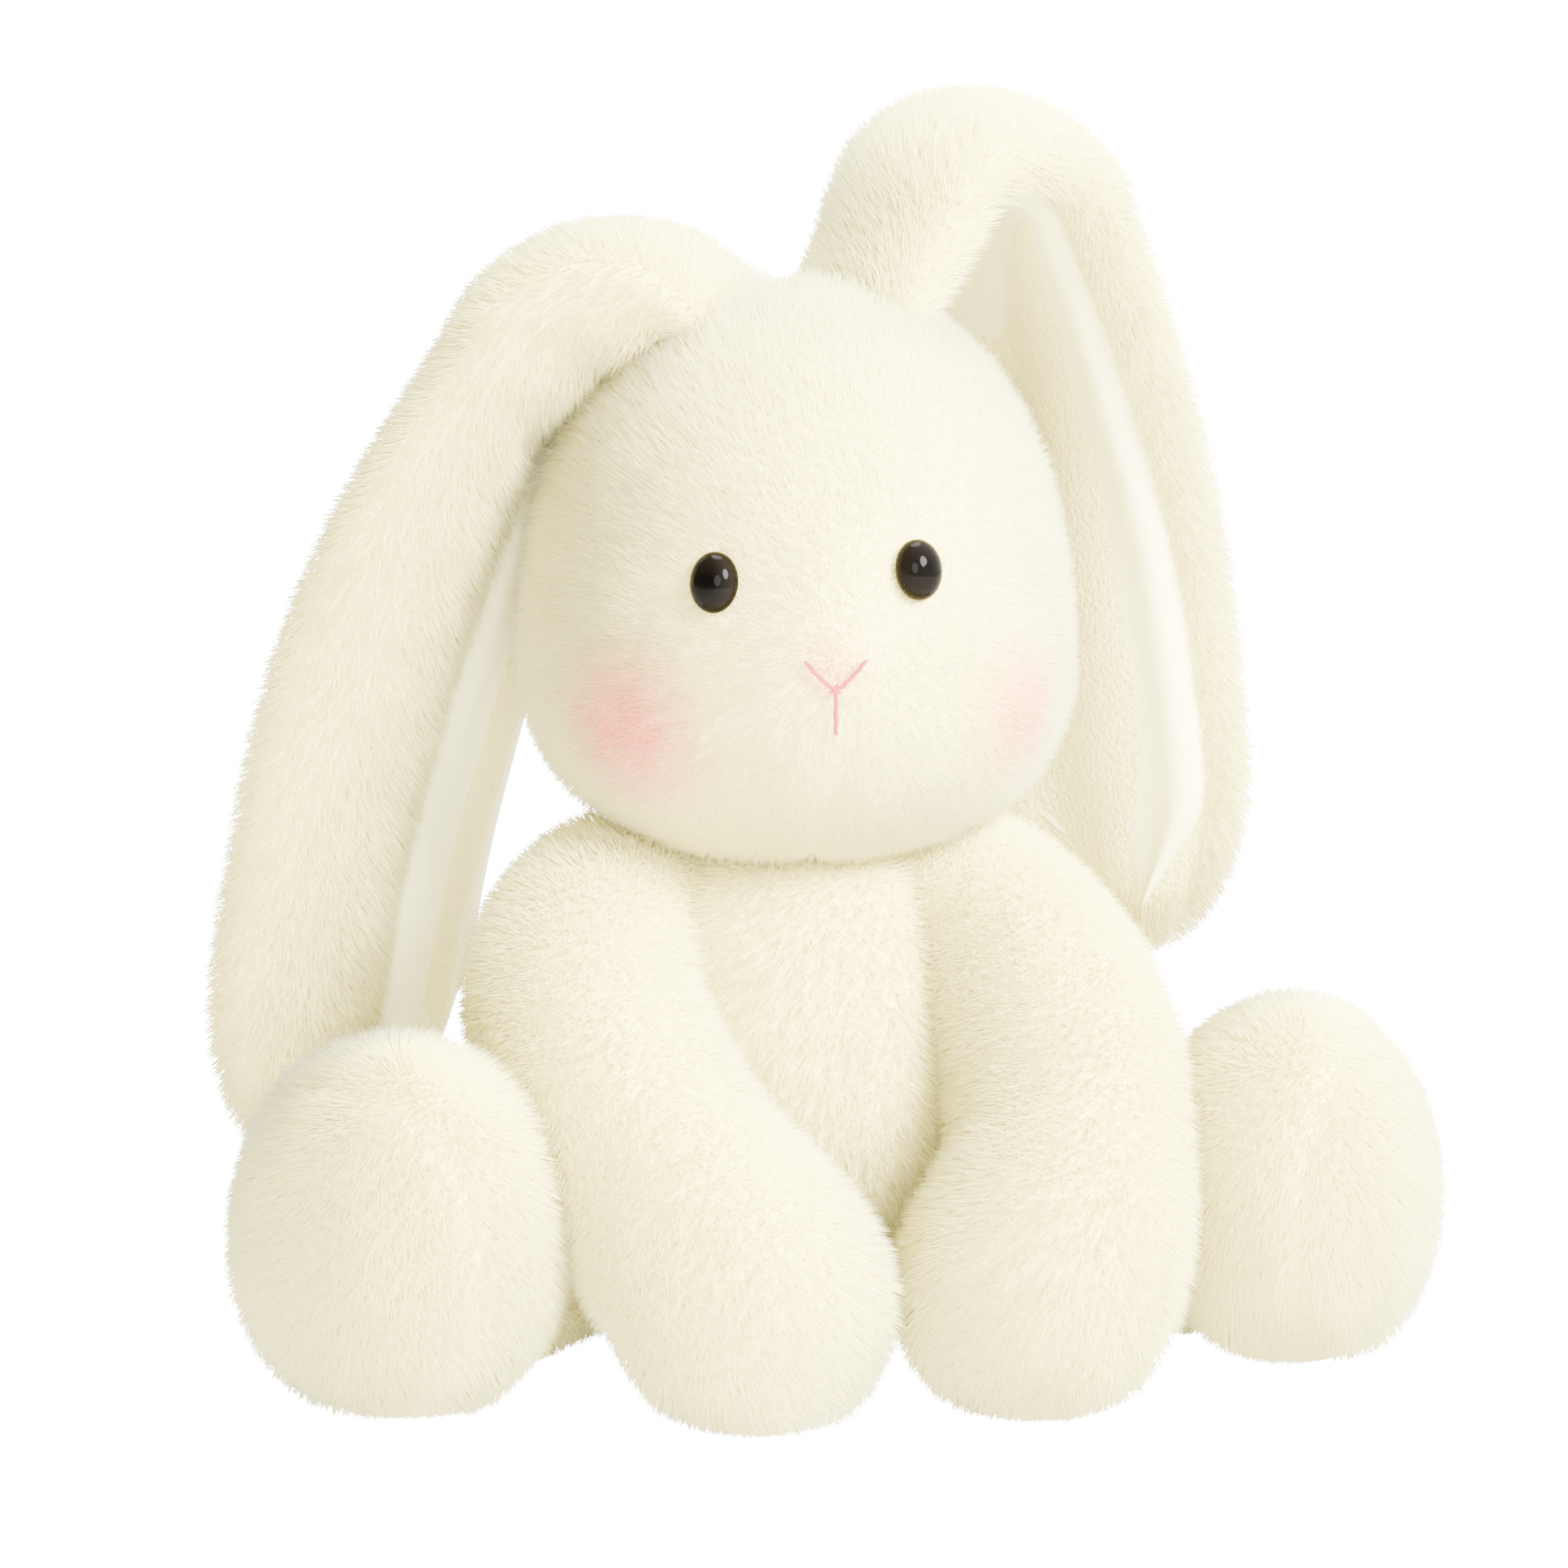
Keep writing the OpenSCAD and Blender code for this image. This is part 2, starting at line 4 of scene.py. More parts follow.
import bmesh
import bpy
import numpy as np
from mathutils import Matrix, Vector


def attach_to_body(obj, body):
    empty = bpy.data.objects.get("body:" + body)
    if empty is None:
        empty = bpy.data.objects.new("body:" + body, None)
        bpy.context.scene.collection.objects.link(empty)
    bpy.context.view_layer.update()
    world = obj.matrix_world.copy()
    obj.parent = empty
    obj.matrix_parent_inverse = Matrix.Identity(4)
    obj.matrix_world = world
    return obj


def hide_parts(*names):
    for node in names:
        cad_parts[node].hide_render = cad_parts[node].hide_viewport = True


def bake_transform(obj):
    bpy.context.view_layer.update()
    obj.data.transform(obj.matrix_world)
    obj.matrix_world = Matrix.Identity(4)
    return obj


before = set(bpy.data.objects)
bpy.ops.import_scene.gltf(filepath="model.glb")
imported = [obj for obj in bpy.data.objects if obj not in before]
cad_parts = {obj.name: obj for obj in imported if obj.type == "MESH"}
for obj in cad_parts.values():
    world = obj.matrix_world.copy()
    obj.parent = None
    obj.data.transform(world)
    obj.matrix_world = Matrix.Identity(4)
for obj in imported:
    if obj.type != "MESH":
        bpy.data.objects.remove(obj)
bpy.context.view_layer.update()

MM = 0.001
LEFT, RIGHT = 1, -1
SIDE_NAMES = {LEFT: "left", RIGHT: "right"}

# Sizes in millimetres, from the part's own source; eyes, nose, elbows, shoulders and ears are adjusted for looks
BELLY_D, BELLY_Z, TORSO_H, SEAT_DROP = 100, 45, 123, 60
HEAD_D, CROWN_H, JAW_H, CHEEK_Z, HEAD_FORWARD, HEAD_POWER = 132, 89, 46, 165, 3, 2.3
NECK_D, NECK_Z = 48, 119
EYE_H, EYE_W, EYE_RISE, EYE_ANGLE, EYE_TURN, EYE_TILT, EYE_Z = 14.6, 11.8, 4.8, 22, 6, 2.4, 194
EYE_LIFT = 12
NOSE_TURN, NOSE_Z, NOSE_W, NOSE_V_H, MOUTH_L = 3, 168.5, 12.2, 5.6, 9
SHOULDER = np.array([47.0, -8.0, 99.0])
SHOULDER_D, WRIST_D, PAW_D, PAW_FORWARD, WRIST_AT = 42, 46, 58, 96, 0.62
PAW_X = {LEFT: 39, RIGHT: 27}
ELBOW_OUT = {LEFT: 21, RIGHT: 29}
HIP = np.array([44.0, -8.0, 26.0])
HIP_D, ANKLE_D, LEG_L = 44, 38, 57
ANKLE_Z = 22.7
SPLAY = {LEFT: 53, RIGHT: 47}
FOOT_AHEAD, FOOT_T, FOOT_W, FOOT_H, FOOT_LEAN, FOOT_MID_Z = 29, 56, 80, 86, 8, 42.9
EAR_HALF_W, EAR_ROOT_HALF_W, EAR_BACK_T, EAR_FRONT_T, EAR_HOLLOW = 41, 30, 14, 9, 5
# Near its root the lining side of an ear is padded out until it rests on the head
PAD_UNDER, PAD_AT, PAD_OVER = {LEFT: 0, RIGHT: 15}, 36, 22
# The inner rim swells towards the head
RIM_SPREAD, RIM_SPREAD_AT, RIM_SPREAD_OVER = {LEFT: 0, RIGHT: 6}, 90, 60
TIP_SHARE, ROOT_SWELL, SWELL_OVER = 0.24, 0.75, 40
# The lining reaches from the inner rim to its outer seam, whose place shifts from root to tip
LINING_INNER = -0.985
LINING_SEAM = {LEFT: (0.66, 0.86), RIGHT: (-0.34, -0.2)}
LINING_FROM = {LEFT: 6, RIGHT: 28}
# Past this share of its length the left lining draws in from the inner rim
LINING_DRAWS_IN, LINING_TIP = {LEFT: 0.45, RIGHT: 0.0}, {LEFT: 0.5, RIGHT: -0.3}
TAIL_D, TAIL_Z = 40, 26
# Root, rise angle, rise length, bend radius, hang angles, hang length, heading, lean, twists
EARS = {
    LEFT: ([17, 9, 247], 62, 35, 16, 80, 84, 191, 12, 0.03, 12, 48),
    RIGHT: ([19, 9, 249], 32, 8, 25, 65, 88, 214, -4, 0.17, 26, 54),
}
EAR = {side: dict(zip(("root", "rise", "rise_l", "bend_r", "hang_from", "hang_to", "hang_l", "heading", "lean",
                       "twist_root", "twist_tip"), EARS[side])) for side in EARS}
for side in EAR:
    EAR[side]["spread"], EAR[side]["pad"] = RIM_SPREAD[side], PAD_UNDER[side]


def unit(v):
    v = np.asarray(v, float)
    return v / np.maximum(np.linalg.norm(v, axis=-1, keepdims=True), 1e-9)


def ease(t):
    c = np.clip(t, 0, 1)
    return c * c * (3 - 2 * c)


def bump(distance, width):
    """A soft hill, 1 in the middle"""
    return np.exp(-(distance / width) ** 2)


def mirrored(points, side):
    points = np.array(points, float)
    points[..., 0] *= side
    return points


# ---------------------------------------------------------------- meshes


def new_object(name, mesh):
    obj = bpy.data.objects.new(name, mesh)
    bpy.context.scene.collection.objects.link(obj)
    return obj


def closed_skin(name, rows):
    """A closed skin over rows of points in millimetres, with a pole at each end"""
    rows = np.asarray(rows, float) * MM
    count, sides = rows.shape[:2]
    points = np.vstack([rows.reshape(-1, 3), rows[0].mean(0), rows[-1].mean(0)])
    faces = []
    for i in range(count - 1):
        for j in range(sides):
            k = (j + 1) % sides
            faces.append((i * sides + j, i * sides + k, (i + 1) * sides + k, (i + 1) * sides + j))
    first, last = count * sides, count * sides + 1
    end = (count - 1) * sides
    for j in range(sides):
        k = (j + 1) % sides
        faces += [(first, k, j), (last, end + j, end + k)]
    mesh = bpy.data.meshes.new(name)
    mesh.from_pydata(points.tolist(), [], faces)
    work = bmesh.new()
    work.from_mesh(mesh)
    bmesh.ops.recalc_face_normals(work, faces=work.faces)
    work.to_mesh(mesh)
    work.free()
    mesh.shade_smooth()
    return new_object(name, mesh)


def places(obj):
    """The points of a mesh, in millimetres"""
    flat = np.empty(len(obj.data.vertices) * 3)
    obj.data.vertices.foreach_get("co", flat)
    return flat.reshape(-1, 3) / MM


def set_places(obj, points):
    obj.data.vertices.foreach_set("co", (points * MM).ravel())
    obj.data.update()


def normals(obj):
    flat = np.empty(len(obj.data.vertices) * 3)
    obj.data.vertices.foreach_get("normal", flat)
    return flat.reshape(-1, 3)


def set_field(obj, name, values, kind="FLOAT"):
    old = obj.data.attributes.get(name)
    if old:
        obj.data.attributes.remove(old)
    field = obj.data.attributes.new(name, kind, "POINT")
    field.data.foreach_set("vector" if kind == "FLOAT_VECTOR" else "value", np.ravel(values))


# ---------------------------------------------------------------- shapes from the part's rules


def head_share(z):
    h = np.where(z > CHEEK_Z, CROWN_H, JAW_H)
    return np.maximum(1 - (np.abs(z - CHEEK_Z) / h) ** HEAD_POWER, 0) ** (1 / HEAD_POWER)


def face_point(angle, z):
    a = math.radians(angle)
    r = HEAD_D / 2 * float(head_share(np.array(float(z))))
    return np.array([r * math.sin(a), -HEAD_FORWARD - r * math.cos(a), z])


def egg_rows(mid, r, up, down, power, rings, sides):
    rows = []
    for i in range(1, rings):
        a = math.radians(-90 + 180 * i / rings)
        h = down if a < 0 else up
        flat = r * math.cos(a) ** (2 / power)
        z = mid[2] + h * math.copysign(abs(math.sin(a)) ** (2 / power), a)
        turn = np.arange(sides) * 2 * math.pi / sides
        rows.append(np.stack([mid[0] + flat * np.sin(turn), mid[1] - flat * np.cos(turn),
                              np.full(sides, z)], 1))
    return rows


def tube_rows(centres, radii, sides, ball_start, ball_end):
    """Rings along a line of centres, with a round end where one is asked for"""
    centres = np.asarray(centres, float)
    along = unit(np.gradient(centres, axis=0))
    stations = [(c, t, r) for c, t, r in zip(centres, along, radii)]
    dome = [math.radians(a) for a in (80, 66, 52, 38, 24, 11)]
    if ball_start:
        c, t, r = stations[0]
        stations = [(c - t * r * math.sin(a), t, r * math.cos(a)) for a in dome] + stations
    if ball_end:
        c, t, r = stations[-1]
        stations += [(c + t * r * math.sin(a), t, r * math.cos(a)) for a in reversed(dome)]
    rows = []
    for c, t, r in stations:
        across = unit(np.cross(t, [0, 0, 1]))
        up = np.cross(across, t)
        turn = np.arange(sides)[:, None] * 2 * math.pi / sides
        rows.append(c + r * (across * np.cos(turn) + up * np.sin(turn)))
    return rows


def bezier(p, t):
    t = np.asarray(t)[:, None]
    return p[0] * (1 - t) ** 3 + p[1] * 3 * t * (1 - t) ** 2 + p[2] * 3 * t * t * (1 - t) + p[3] * t ** 3


def arm_curve(side):
    x = PAW_X[side]
    return [SHOULDER, SHOULDER + [ELBOW_OUT[side], -33, -13],
            np.array([x + 17, -PAW_FORWARD + 12, PAW_D / 2 + 28.0]),
            np.array([x, -PAW_FORWARD, PAW_D / 2.0])]


def leg_dir(side):
    a = math.radians(SPLAY[side])
    return np.array([math.sin(a), -math.cos(a), 0])


def ankle(side):
    return HIP + leg_dir(side) * LEG_L + [0, 0, ANKLE_Z - HIP[2]]


def foot_mid(side):
    p = ankle(side) + leg_dir(side) * FOOT_AHEAD
    return np.array([p[0], p[1], FOOT_MID_Z])


# Ears: a rise, a bend over an arc, and a slow curve down


def bend_length(e):
    return math.radians(e["rise"] + e["hang_from"]) * e["bend_r"]


def ear_length(e):
    return e["rise_l"] + bend_length(e) + e["hang_l"]


def bend_at(e):
    return e["rise_l"] + bend_length(e) * e["rise"] / (e["rise"] + e["hang_from"])


def ear_point(e, s):
    """Place along an ear, for the left side"""
    rise, start = math.radians(e["rise"]), math.radians(e["hang_from"])
    past = max(s - e["rise_l"] - bend_length(e), 0)
    share = min(max((s - e["rise_l"]) / bend_length(e), 0), 1)
    a = rise - (rise + start) * share
    h = math.radians(e["hang_from"] + (e["hang_to"] - e["hang_from"]) * past / e["hang_l"])
    hang_r = e["hang_l"] / math.radians(e["hang_to"] - e["hang_from"])
    out = (min(s, e["rise_l"]) * math.cos(rise) + e["bend_r"] * (math.sin(rise) - math.sin(a))
           + hang_r * (math.sin(h) - math.sin(start)))
    up = (min(s, e["rise_l"]) * math.sin(rise) + e["bend_r"] * (math.cos(a) - math.cos(rise))
          + hang_r * (math.cos(h) - math.cos(start)))
    turn = math.radians(e["heading"])
    return np.array(e["root"], float) + [
        out * math.cos(turn), out * math.sin(turn) + past * e["lean"], up]


def ear_axes(e, s):
    """Directions along an ear, across it towards the front rim, and out of its lining"""
    along = unit(ear_point(e, s + 0.5) - ear_point(e, s - 0.5))
    share = ease((s - e["rise_l"]) / (ear_length(e) - e["rise_l"]) * 1.6)
    turn = math.radians(e["twist_root"] + (e["twist_tip"] - e["twist_root"]) * share)
    wide = np.array([math.sin(turn), -math.cos(turn), 0])
    across = unit(wide - along * (wide @ along))
    return along, across, np.cross(along, across)


def lining_seam(side, s):
    root, tip = LINING_SEAM[side]
    return root + (tip - root) * ease(s / ear_length(EAR[side]))


def lining_inner(side, s):
    return LINING_INNER + LINING_DRAWS_IN[side] * ease((s / ear_length(EAR[side]) - 0.5) / 0.35)


def ear_half_width(e, s):
    t = s / ear_length(e)
    tip = max(1 - max((t - 1 + TIP_SHARE) / TIP_SHARE, 0) ** 2.4, 0.004)
    return (EAR_ROOT_HALF_W + (EAR_HALF_W - EAR_ROOT_HALF_W) * ease(t / 0.4)) * math.sqrt(tip)


def ear_swell(e, s):
    t = s / ear_length(e)
    tip = max(1 - max((t - 1 + TIP_SHARE / 2) / TIP_SHARE * 2, 0) ** 2.4, 0.01)
    return (ROOT_SWELL + (1 - ROOT_SWELL) * ease(s / SWELL_OVER)) * math.sqrt(tip)


def front_height(u):
    return EAR_FRONT_T * np.sqrt(np.maximum(1 - u ** 4, 0)) - EAR_HOLLOW * bump(u + 0.3, 0.36)


def back_height(u):
    return -EAR_BACK_T * np.sqrt(np.maximum(1 - u * u, 0))


def ear_row(e, s, u, v):
    _, across, facing = ear_axes(e, s)
    spread = e["spread"] * bump(s - RIM_SPREAD_AT, RIM_SPREAD_OVER)
    wide = u * ear_half_width(e, s) + np.sign(u) * spread * np.abs(u) ** 2
    pad = e["pad"] * bump(s - PAD_AT, PAD_OVER) * (v > 0) * np.maximum(1 - u * u, 0) ** 0.5
    return (ear_point(e, s) + across * wide[:, None]
            + facing * (v * ear_swell(e, s) + pad)[:, None])


# ---------------------------------------------------------------- materials


class Tone:
    """A number on its way through a material"""

    def __init__(self, finish, socket):
        self.finish, self.socket = finish, socket

    def _math(self, operation, a, b):
        node = self.finish.node("ShaderNodeMath", {"operation": operation}, {0: a, 1: b})
        return Tone(self.finish, node.outputs[0])

    def __add__(self, other):
        return self._math("ADD", self, other)

    __radd__ = __add__

    def __sub__(self, other):
        return self._math("SUBTRACT", self, other)

    def __rsub__(self, other):
        return self._math("SUBTRACT", other, self)

    def __mul__(self, other):
        return self._math("MULTIPLY", self, other)

    __rmul__ = __mul__

    def __truediv__(self, other):
        return self._math("DIVIDE", self, other)

    def __pow__(self, other):
        return self._math("POWER", self, other)

    def at_most(self, other):
        return self._math("MINIMUM", self, other)

    def at_least(self, other):
        return self._math("MAXIMUM", self, other)


class Finish:
    """A material while it is being written"""

    def __init__(self, name):
        self.material = bpy.data.materials.new(name)
        self.material.use_nodes = True
        self.tree = self.material.node_tree
        self.tree.nodes.clear()

    def node(self, kind, settings=None, sockets=None):
        node = self.tree.nodes.new(kind)
        for key, value in (settings or {}).items():
            setattr(node, key, value)
        for key, value in (sockets or {}).items():
            if isinstance(value, Tone):
                value = value.socket
            if isinstance(value, bpy.types.NodeSocket):
                self.tree.links.new(value, node.inputs[key])
            else:
                node.inputs[key].default_value = value
        return node

    def tone(self, node, output=0):
        return Tone(self, node.outputs[output])

    def coordinates(self):
        return self.node("ShaderNodeTexCoord").outputs["Object"]

    def noise(self, scale, detail=2.0, vector=None):
        node = self.node("ShaderNodeTexNoise", None, {
            "Vector": vector or self.coordinates(), "Scale": scale, "Detail": detail})
        return self.tone(node, "Fac")

    def mix(self, share, a, b, blend="MIX"):
        node = self.node("ShaderNodeMix", {"data_type": "RGBA", "blend_type": blend},
                         {0: share, 6: a, 7: b})
        return node.outputs[2]

    def near(self, place, radius):
        """1 at a place given in millimetres, falling softly to 0 at the radius"""
        gap = self.node("ShaderNodeVectorMath", {"operation": "DISTANCE"},
                        {0: self.coordinates(), 1: tuple(c * MM for c in place)})
        node = self.node("ShaderNodeMapRange", {"interpolation_type": "SMOOTHSTEP"}, {
            "Value": gap.outputs["Value"], "From Min": 0.0, "From Max": radius * MM,
            "To Min": 1.0, "To Max": 0.0})
        return self.tone(node)

    def surface(self, colour, roughness=0.8, height=None, depth=0.0005, **sockets):
        inputs = {"Base Color": colour, "Roughness": roughness, **sockets}
        shader = self.node("ShaderNodeBsdfPrincipled", None, inputs)
        if height is not None:
            relief = self.node("ShaderNodeBump", None, {"Height": height, "Distance": depth, "Strength": 1.0})
            self.tree.links.new(relief.outputs[0], shader.inputs["Normal"])
        out = self.node("ShaderNodeOutputMaterial")
        self.tree.links.new(shader.outputs[0], out.inputs["Surface"])
        return self.material


def rgba(r, g, b):
    return (r, g, b, 1.0)


CHEEKS = {LEFT: (44, -50, 159), RIGHT: (-47, -46, 157)}
NOSE_PLACE = face_point(-NOSE_TURN, NOSE_Z)
# Darker, warmer ivory painted at the roots of the pile: painted shade within the pile
IVORY_ROOT_SHADE = rgba(0.88, 0.78, 0.27)
BLUSH = rgba(0.95, 0.20, 0.14)


def ivory(finish, unshaded_share):
    """Ivory that drifts a little warmer and cooler from tuft to tuft, and is painted darker and warmer towards
    the roots of the pile as shade within it
    """
    drift = finish.noise(38.0, 3.0)
    tuft = finish.mix(drift, rgba(0.96, 0.90, 0.36), rgba(0.97, 0.90, 0.33))
    return finish.mix(unshaded_share, IVORY_ROOT_SHADE, tuft)


def with_blush(finish, colour):
    """Cheeks and nose dusted with pink, broken up as brushed pile is"""
    breakup = finish.noise(210.0, 3.0) * 0.7 + 0.55
    right = finish.near(CHEEKS[RIGHT], 29) * 0.95
    left = finish.near(CHEEKS[LEFT], 23) * 0.75
    nose = finish.near(NOSE_PLACE + [0, 0, 5], 13) * 0.5
    share = ((right + left + nose) * breakup).at_most(0.85)
    return finish.mix(share, colour, BLUSH)


def pile_finish(name, blush=False):
    finish = Finish(name)
    tip = finish.tone(finish.node("ShaderNodeAttribute", {"attribute_name": "tip"}), "Fac")
    shade = finish.tone(finish.node("ShaderNodeAttribute", {"attribute_name": "shade"}), "Fac")
    # Each strand is painted darker towards its root, as shade within the pile; the random per-strand tone
    # lightens some strands
    share = (tip * 0.9 + shade * 0.25).at_most(1.0)
    colour = ivory(finish, share)
    if blush:
        colour = with_blush(finish, colour)
    return finish.surface(colour, 0.75, **{"Sheen Weight": 0.25, "Sheen Roughness": 0.5,
                                           "Specular IOR Level": 0.2})


def backing_finish(name, blush=False):
    """The root of the pile, seen between strands, painted darker as the shade under the strands"""
    finish = Finish(name)
    colour = ivory(finish, finish.noise(900.0, 2.0) * 0.6 + 0.25)
    if blush:
        colour = with_blush(finish, colour)
    return finish.surface(colour, 0.9, finish.noise(700.0, 3.0), 0.0012, **{"Sheen Weight": 0.3})


def lining_finish():
    """Short, smooth pile of the ears' insides"""
    finish = Finish("ear_lining_pile")
    drift = finish.noise(30.0, 2.0)
    colour = finish.mix(drift, rgba(0.975, 0.92, 0.46), rgba(0.98, 0.93, 0.50))
    nap = finish.noise(1500.0, 2.0) * 0.6 + finish.noise(160.0, 3.0) * 0.8
    return finish.surface(colour, finish.noise(60.0) * 0.2 + 0.6, nap, 0.0004,
                          **{"Sheen Weight": 0.4, "Sheen Roughness": 0.4})


def eye_finish(name, middle):
    """Dark brown moulded eye with a black pupil"""
    finish = Finish(name)
    iris = finish.near(middle, 6.5) ** 0.8
    colour = finish.mix(iris, rgba(0.004, 0.003, 0.002), rgba(0.001, 0.0008, 0.0006))
    return finish.surface(colour, finish.noise(400.0) * 0.06 + 0.05, **{"Specular IOR Level": 0.03})


def thread_finish():
    """Pink embroidery thread"""
    finish = Finish("pink_thread")
    twist = finish.tone(finish.node("ShaderNodeTexWave", {"bands_direction": "DIAGONAL"}, {
        "Vector": finish.coordinates(), "Scale": 900.0, "Distortion": 1.5}), "Fac")
    colour = finish.mix(twist, rgba(0.34, 0.008, 0.02), rgba(0.55, 0.03, 0.05))
    return finish.surface(colour, 0.45, twist, 0.0002, **{"Sheen Weight": 0.2})


def label_finish():
    """Woven satin label"""
    finish = Finish("label_satin")
    warp = finish.tone(finish.node("ShaderNodeTexWave", {"bands_direction": "Z"}, {
        "Vector": finish.coordinates(), "Scale": 700.0}), "Fac")
    weft = finish.tone(finish.node("ShaderNodeTexWave", {"bands_direction": "X"}, {
        "Vector": finish.coordinates(), "Scale": 700.0}), "Fac")
    weave = warp * 0.5 + weft * 0.5
    return finish.surface(finish.mix(weave, rgba(0.84, 0.84, 0.82), rgba(0.95, 0.95, 0.93)), 0.4, weave, 0.0001)


PILE, FACE_PILE = pile_finish("ivory_pile"), pile_finish("face_pile", blush=True)
BACKING, FACE_BACKING = backing_finish("pile_roots"), backing_finish("face_pile_roots", blush=True)
LINING, THREAD, LABEL = lining_finish(), thread_finish(), label_finish()


# ---------------------------------------------------------------- fur


def link(tree, source, target):
    tree.links.new(source, target)


def plant(tree, kind, settings=None, sockets=None):
    """A node in a geometry tree: its settings first, then its sockets"""
    node = tree.nodes.new(kind)
    for key, value in (settings or {}).items():
        setattr(node, key, value)
    for key, value in (sockets or {}).items():
        if isinstance(value, bpy.types.NodeSocket):
            tree.links.new(value, node.inputs[key])
        else:
            node.inputs[key].default_value = value
    return node


def fur_tree():
    """Strands of pile over a skin: leaning with the nap, ruffled in tufts"""
    tree = bpy.data.node_groups.new("fur_pile", "GeometryNodeTree")
    sockets = (("Geometry", "Geometry"), ("Strands per square metre", "Float"),
               ("Pile length", "Float"), ("Strand width", "Float"), ("Lean", "Float"),
               ("Ruffle", "Float"), ("Seed", "Int"), ("Pile finish", "Material"))
    for label, kind in sockets:
        tree.interface.new_socket(label, in_out="INPUT", socket_type="NodeSocket" + kind)
    tree.interface.new_socket("Geometry", in_out="OUTPUT", socket_type="NodeSocketGeometry")
    start = plant(tree, "NodeGroupInput").outputs

    def field(name, kind):
        return plant(tree, "GeometryNodeInputNamedAttribute", {"data_type": kind}, {"Name": name}).outputs[0]

    def number(operation, a, b):
        return plant(tree, "ShaderNodeMath", {"operation": operation}, {0: a, 1: b}).outputs[0]

    def vector(operation, a, b, slot=1):
        return plant(tree, "ShaderNodeVectorMath", {"operation": operation}, {0: a, slot: b}).outputs[0]

    pile, cover = field("pile", "FLOAT"), field("cover", "FLOAT")
    spread = plant(tree, "GeometryNodeDistributePointsOnFaces", {"distribute_method": "RANDOM"}, {
        "Mesh": start["Geometry"], "Seed": start["Seed"],
        "Density": number("MULTIPLY", start["Strands per square metre"], cover)})
    shade = plant(tree, "FunctionNodeRandomValue", {"data_type": "FLOAT"}, {2: 0.0, 3: 1.0, "Seed": 7})
    tagged = plant(tree, "GeometryNodeStoreNamedAttribute", {"data_type": "FLOAT", "domain": "POINT"}, {
        "Geometry": spread.outputs["Points"], "Name": "shade", "Value": shade.outputs[1]})
    tufts = plant(tree, "ShaderNodeTexNoise", None, {"Scale": 75.0, "Detail": 2.0}).outputs["Color"]
    tuft = vector("SCALE", vector("SUBTRACT", tufts, (0.5, 0.5, 0.5)),
                  number("MULTIPLY", start["Ruffle"], 4.0), "Scale")
    stray = plant(tree, "FunctionNodeRandomValue", {"data_type": "FLOAT_VECTOR"},
                  {0: (-1, -1, -1), 1: (1, 1, 1), "Seed": 3}).outputs[0]
    nap = vector("SCALE", field("comb", "FLOAT_VECTOR"), start["Lean"], "Scale")
    way = vector("ADD", vector("ADD", spread.outputs["Normal"], nap),
                 vector("ADD", tuft, vector("SCALE", stray, start["Ruffle"], "Scale")))
    aim = plant(tree, "FunctionNodeAlignRotationToVector", {"axis": "Z"}, {"Vector": way})
    uneven = plant(tree, "FunctionNodeRandomValue", {"data_type": "FLOAT"}, {2: 0.65, 3: 1.15, "Seed": 11})
    tall = number("MULTIPLY", number("MULTIPLY", uneven.outputs[1], pile), start["Pile length"])
    size = plant(tree, "ShaderNodeCombineXYZ", None, {
        "X": start["Strand width"], "Y": start["Strand width"], "Z": tall})
    strand = plant(tree, "GeometryNodeMeshCone", {"fill_type": "NONE"}, {
        "Vertices": 3, "Radius Top": 0.0, "Radius Bottom": 0.5, "Depth": 1.0})
    height = plant(tree, "ShaderNodeSeparateXYZ", None, {
        0: plant(tree, "GeometryNodeInputPosition").outputs[0]})
    marked = plant(tree, "GeometryNodeStoreNamedAttribute", {"data_type": "FLOAT", "domain": "POINT"}, {
        "Geometry": strand.outputs["Mesh"], "Name": "tip", "Value": height.outputs["Z"]})
    grown = plant(tree, "GeometryNodeInstanceOnPoints", None, {
        "Points": tagged.outputs[0], "Instance": marked.outputs[0],
        "Rotation": aim.outputs[0], "Scale": size.outputs[0]})
    real = plant(tree, "GeometryNodeRealizeInstances", None, {"Geometry": grown.outputs[0]})
    dressed = plant(tree, "GeometryNodeSetMaterial", None, {
        "Geometry": real.outputs[0], "Material": start["Pile finish"]})
    end = plant(tree, "NodeGroupOutput")
    link(tree, dressed.outputs[0], end.inputs[0])
    return tree


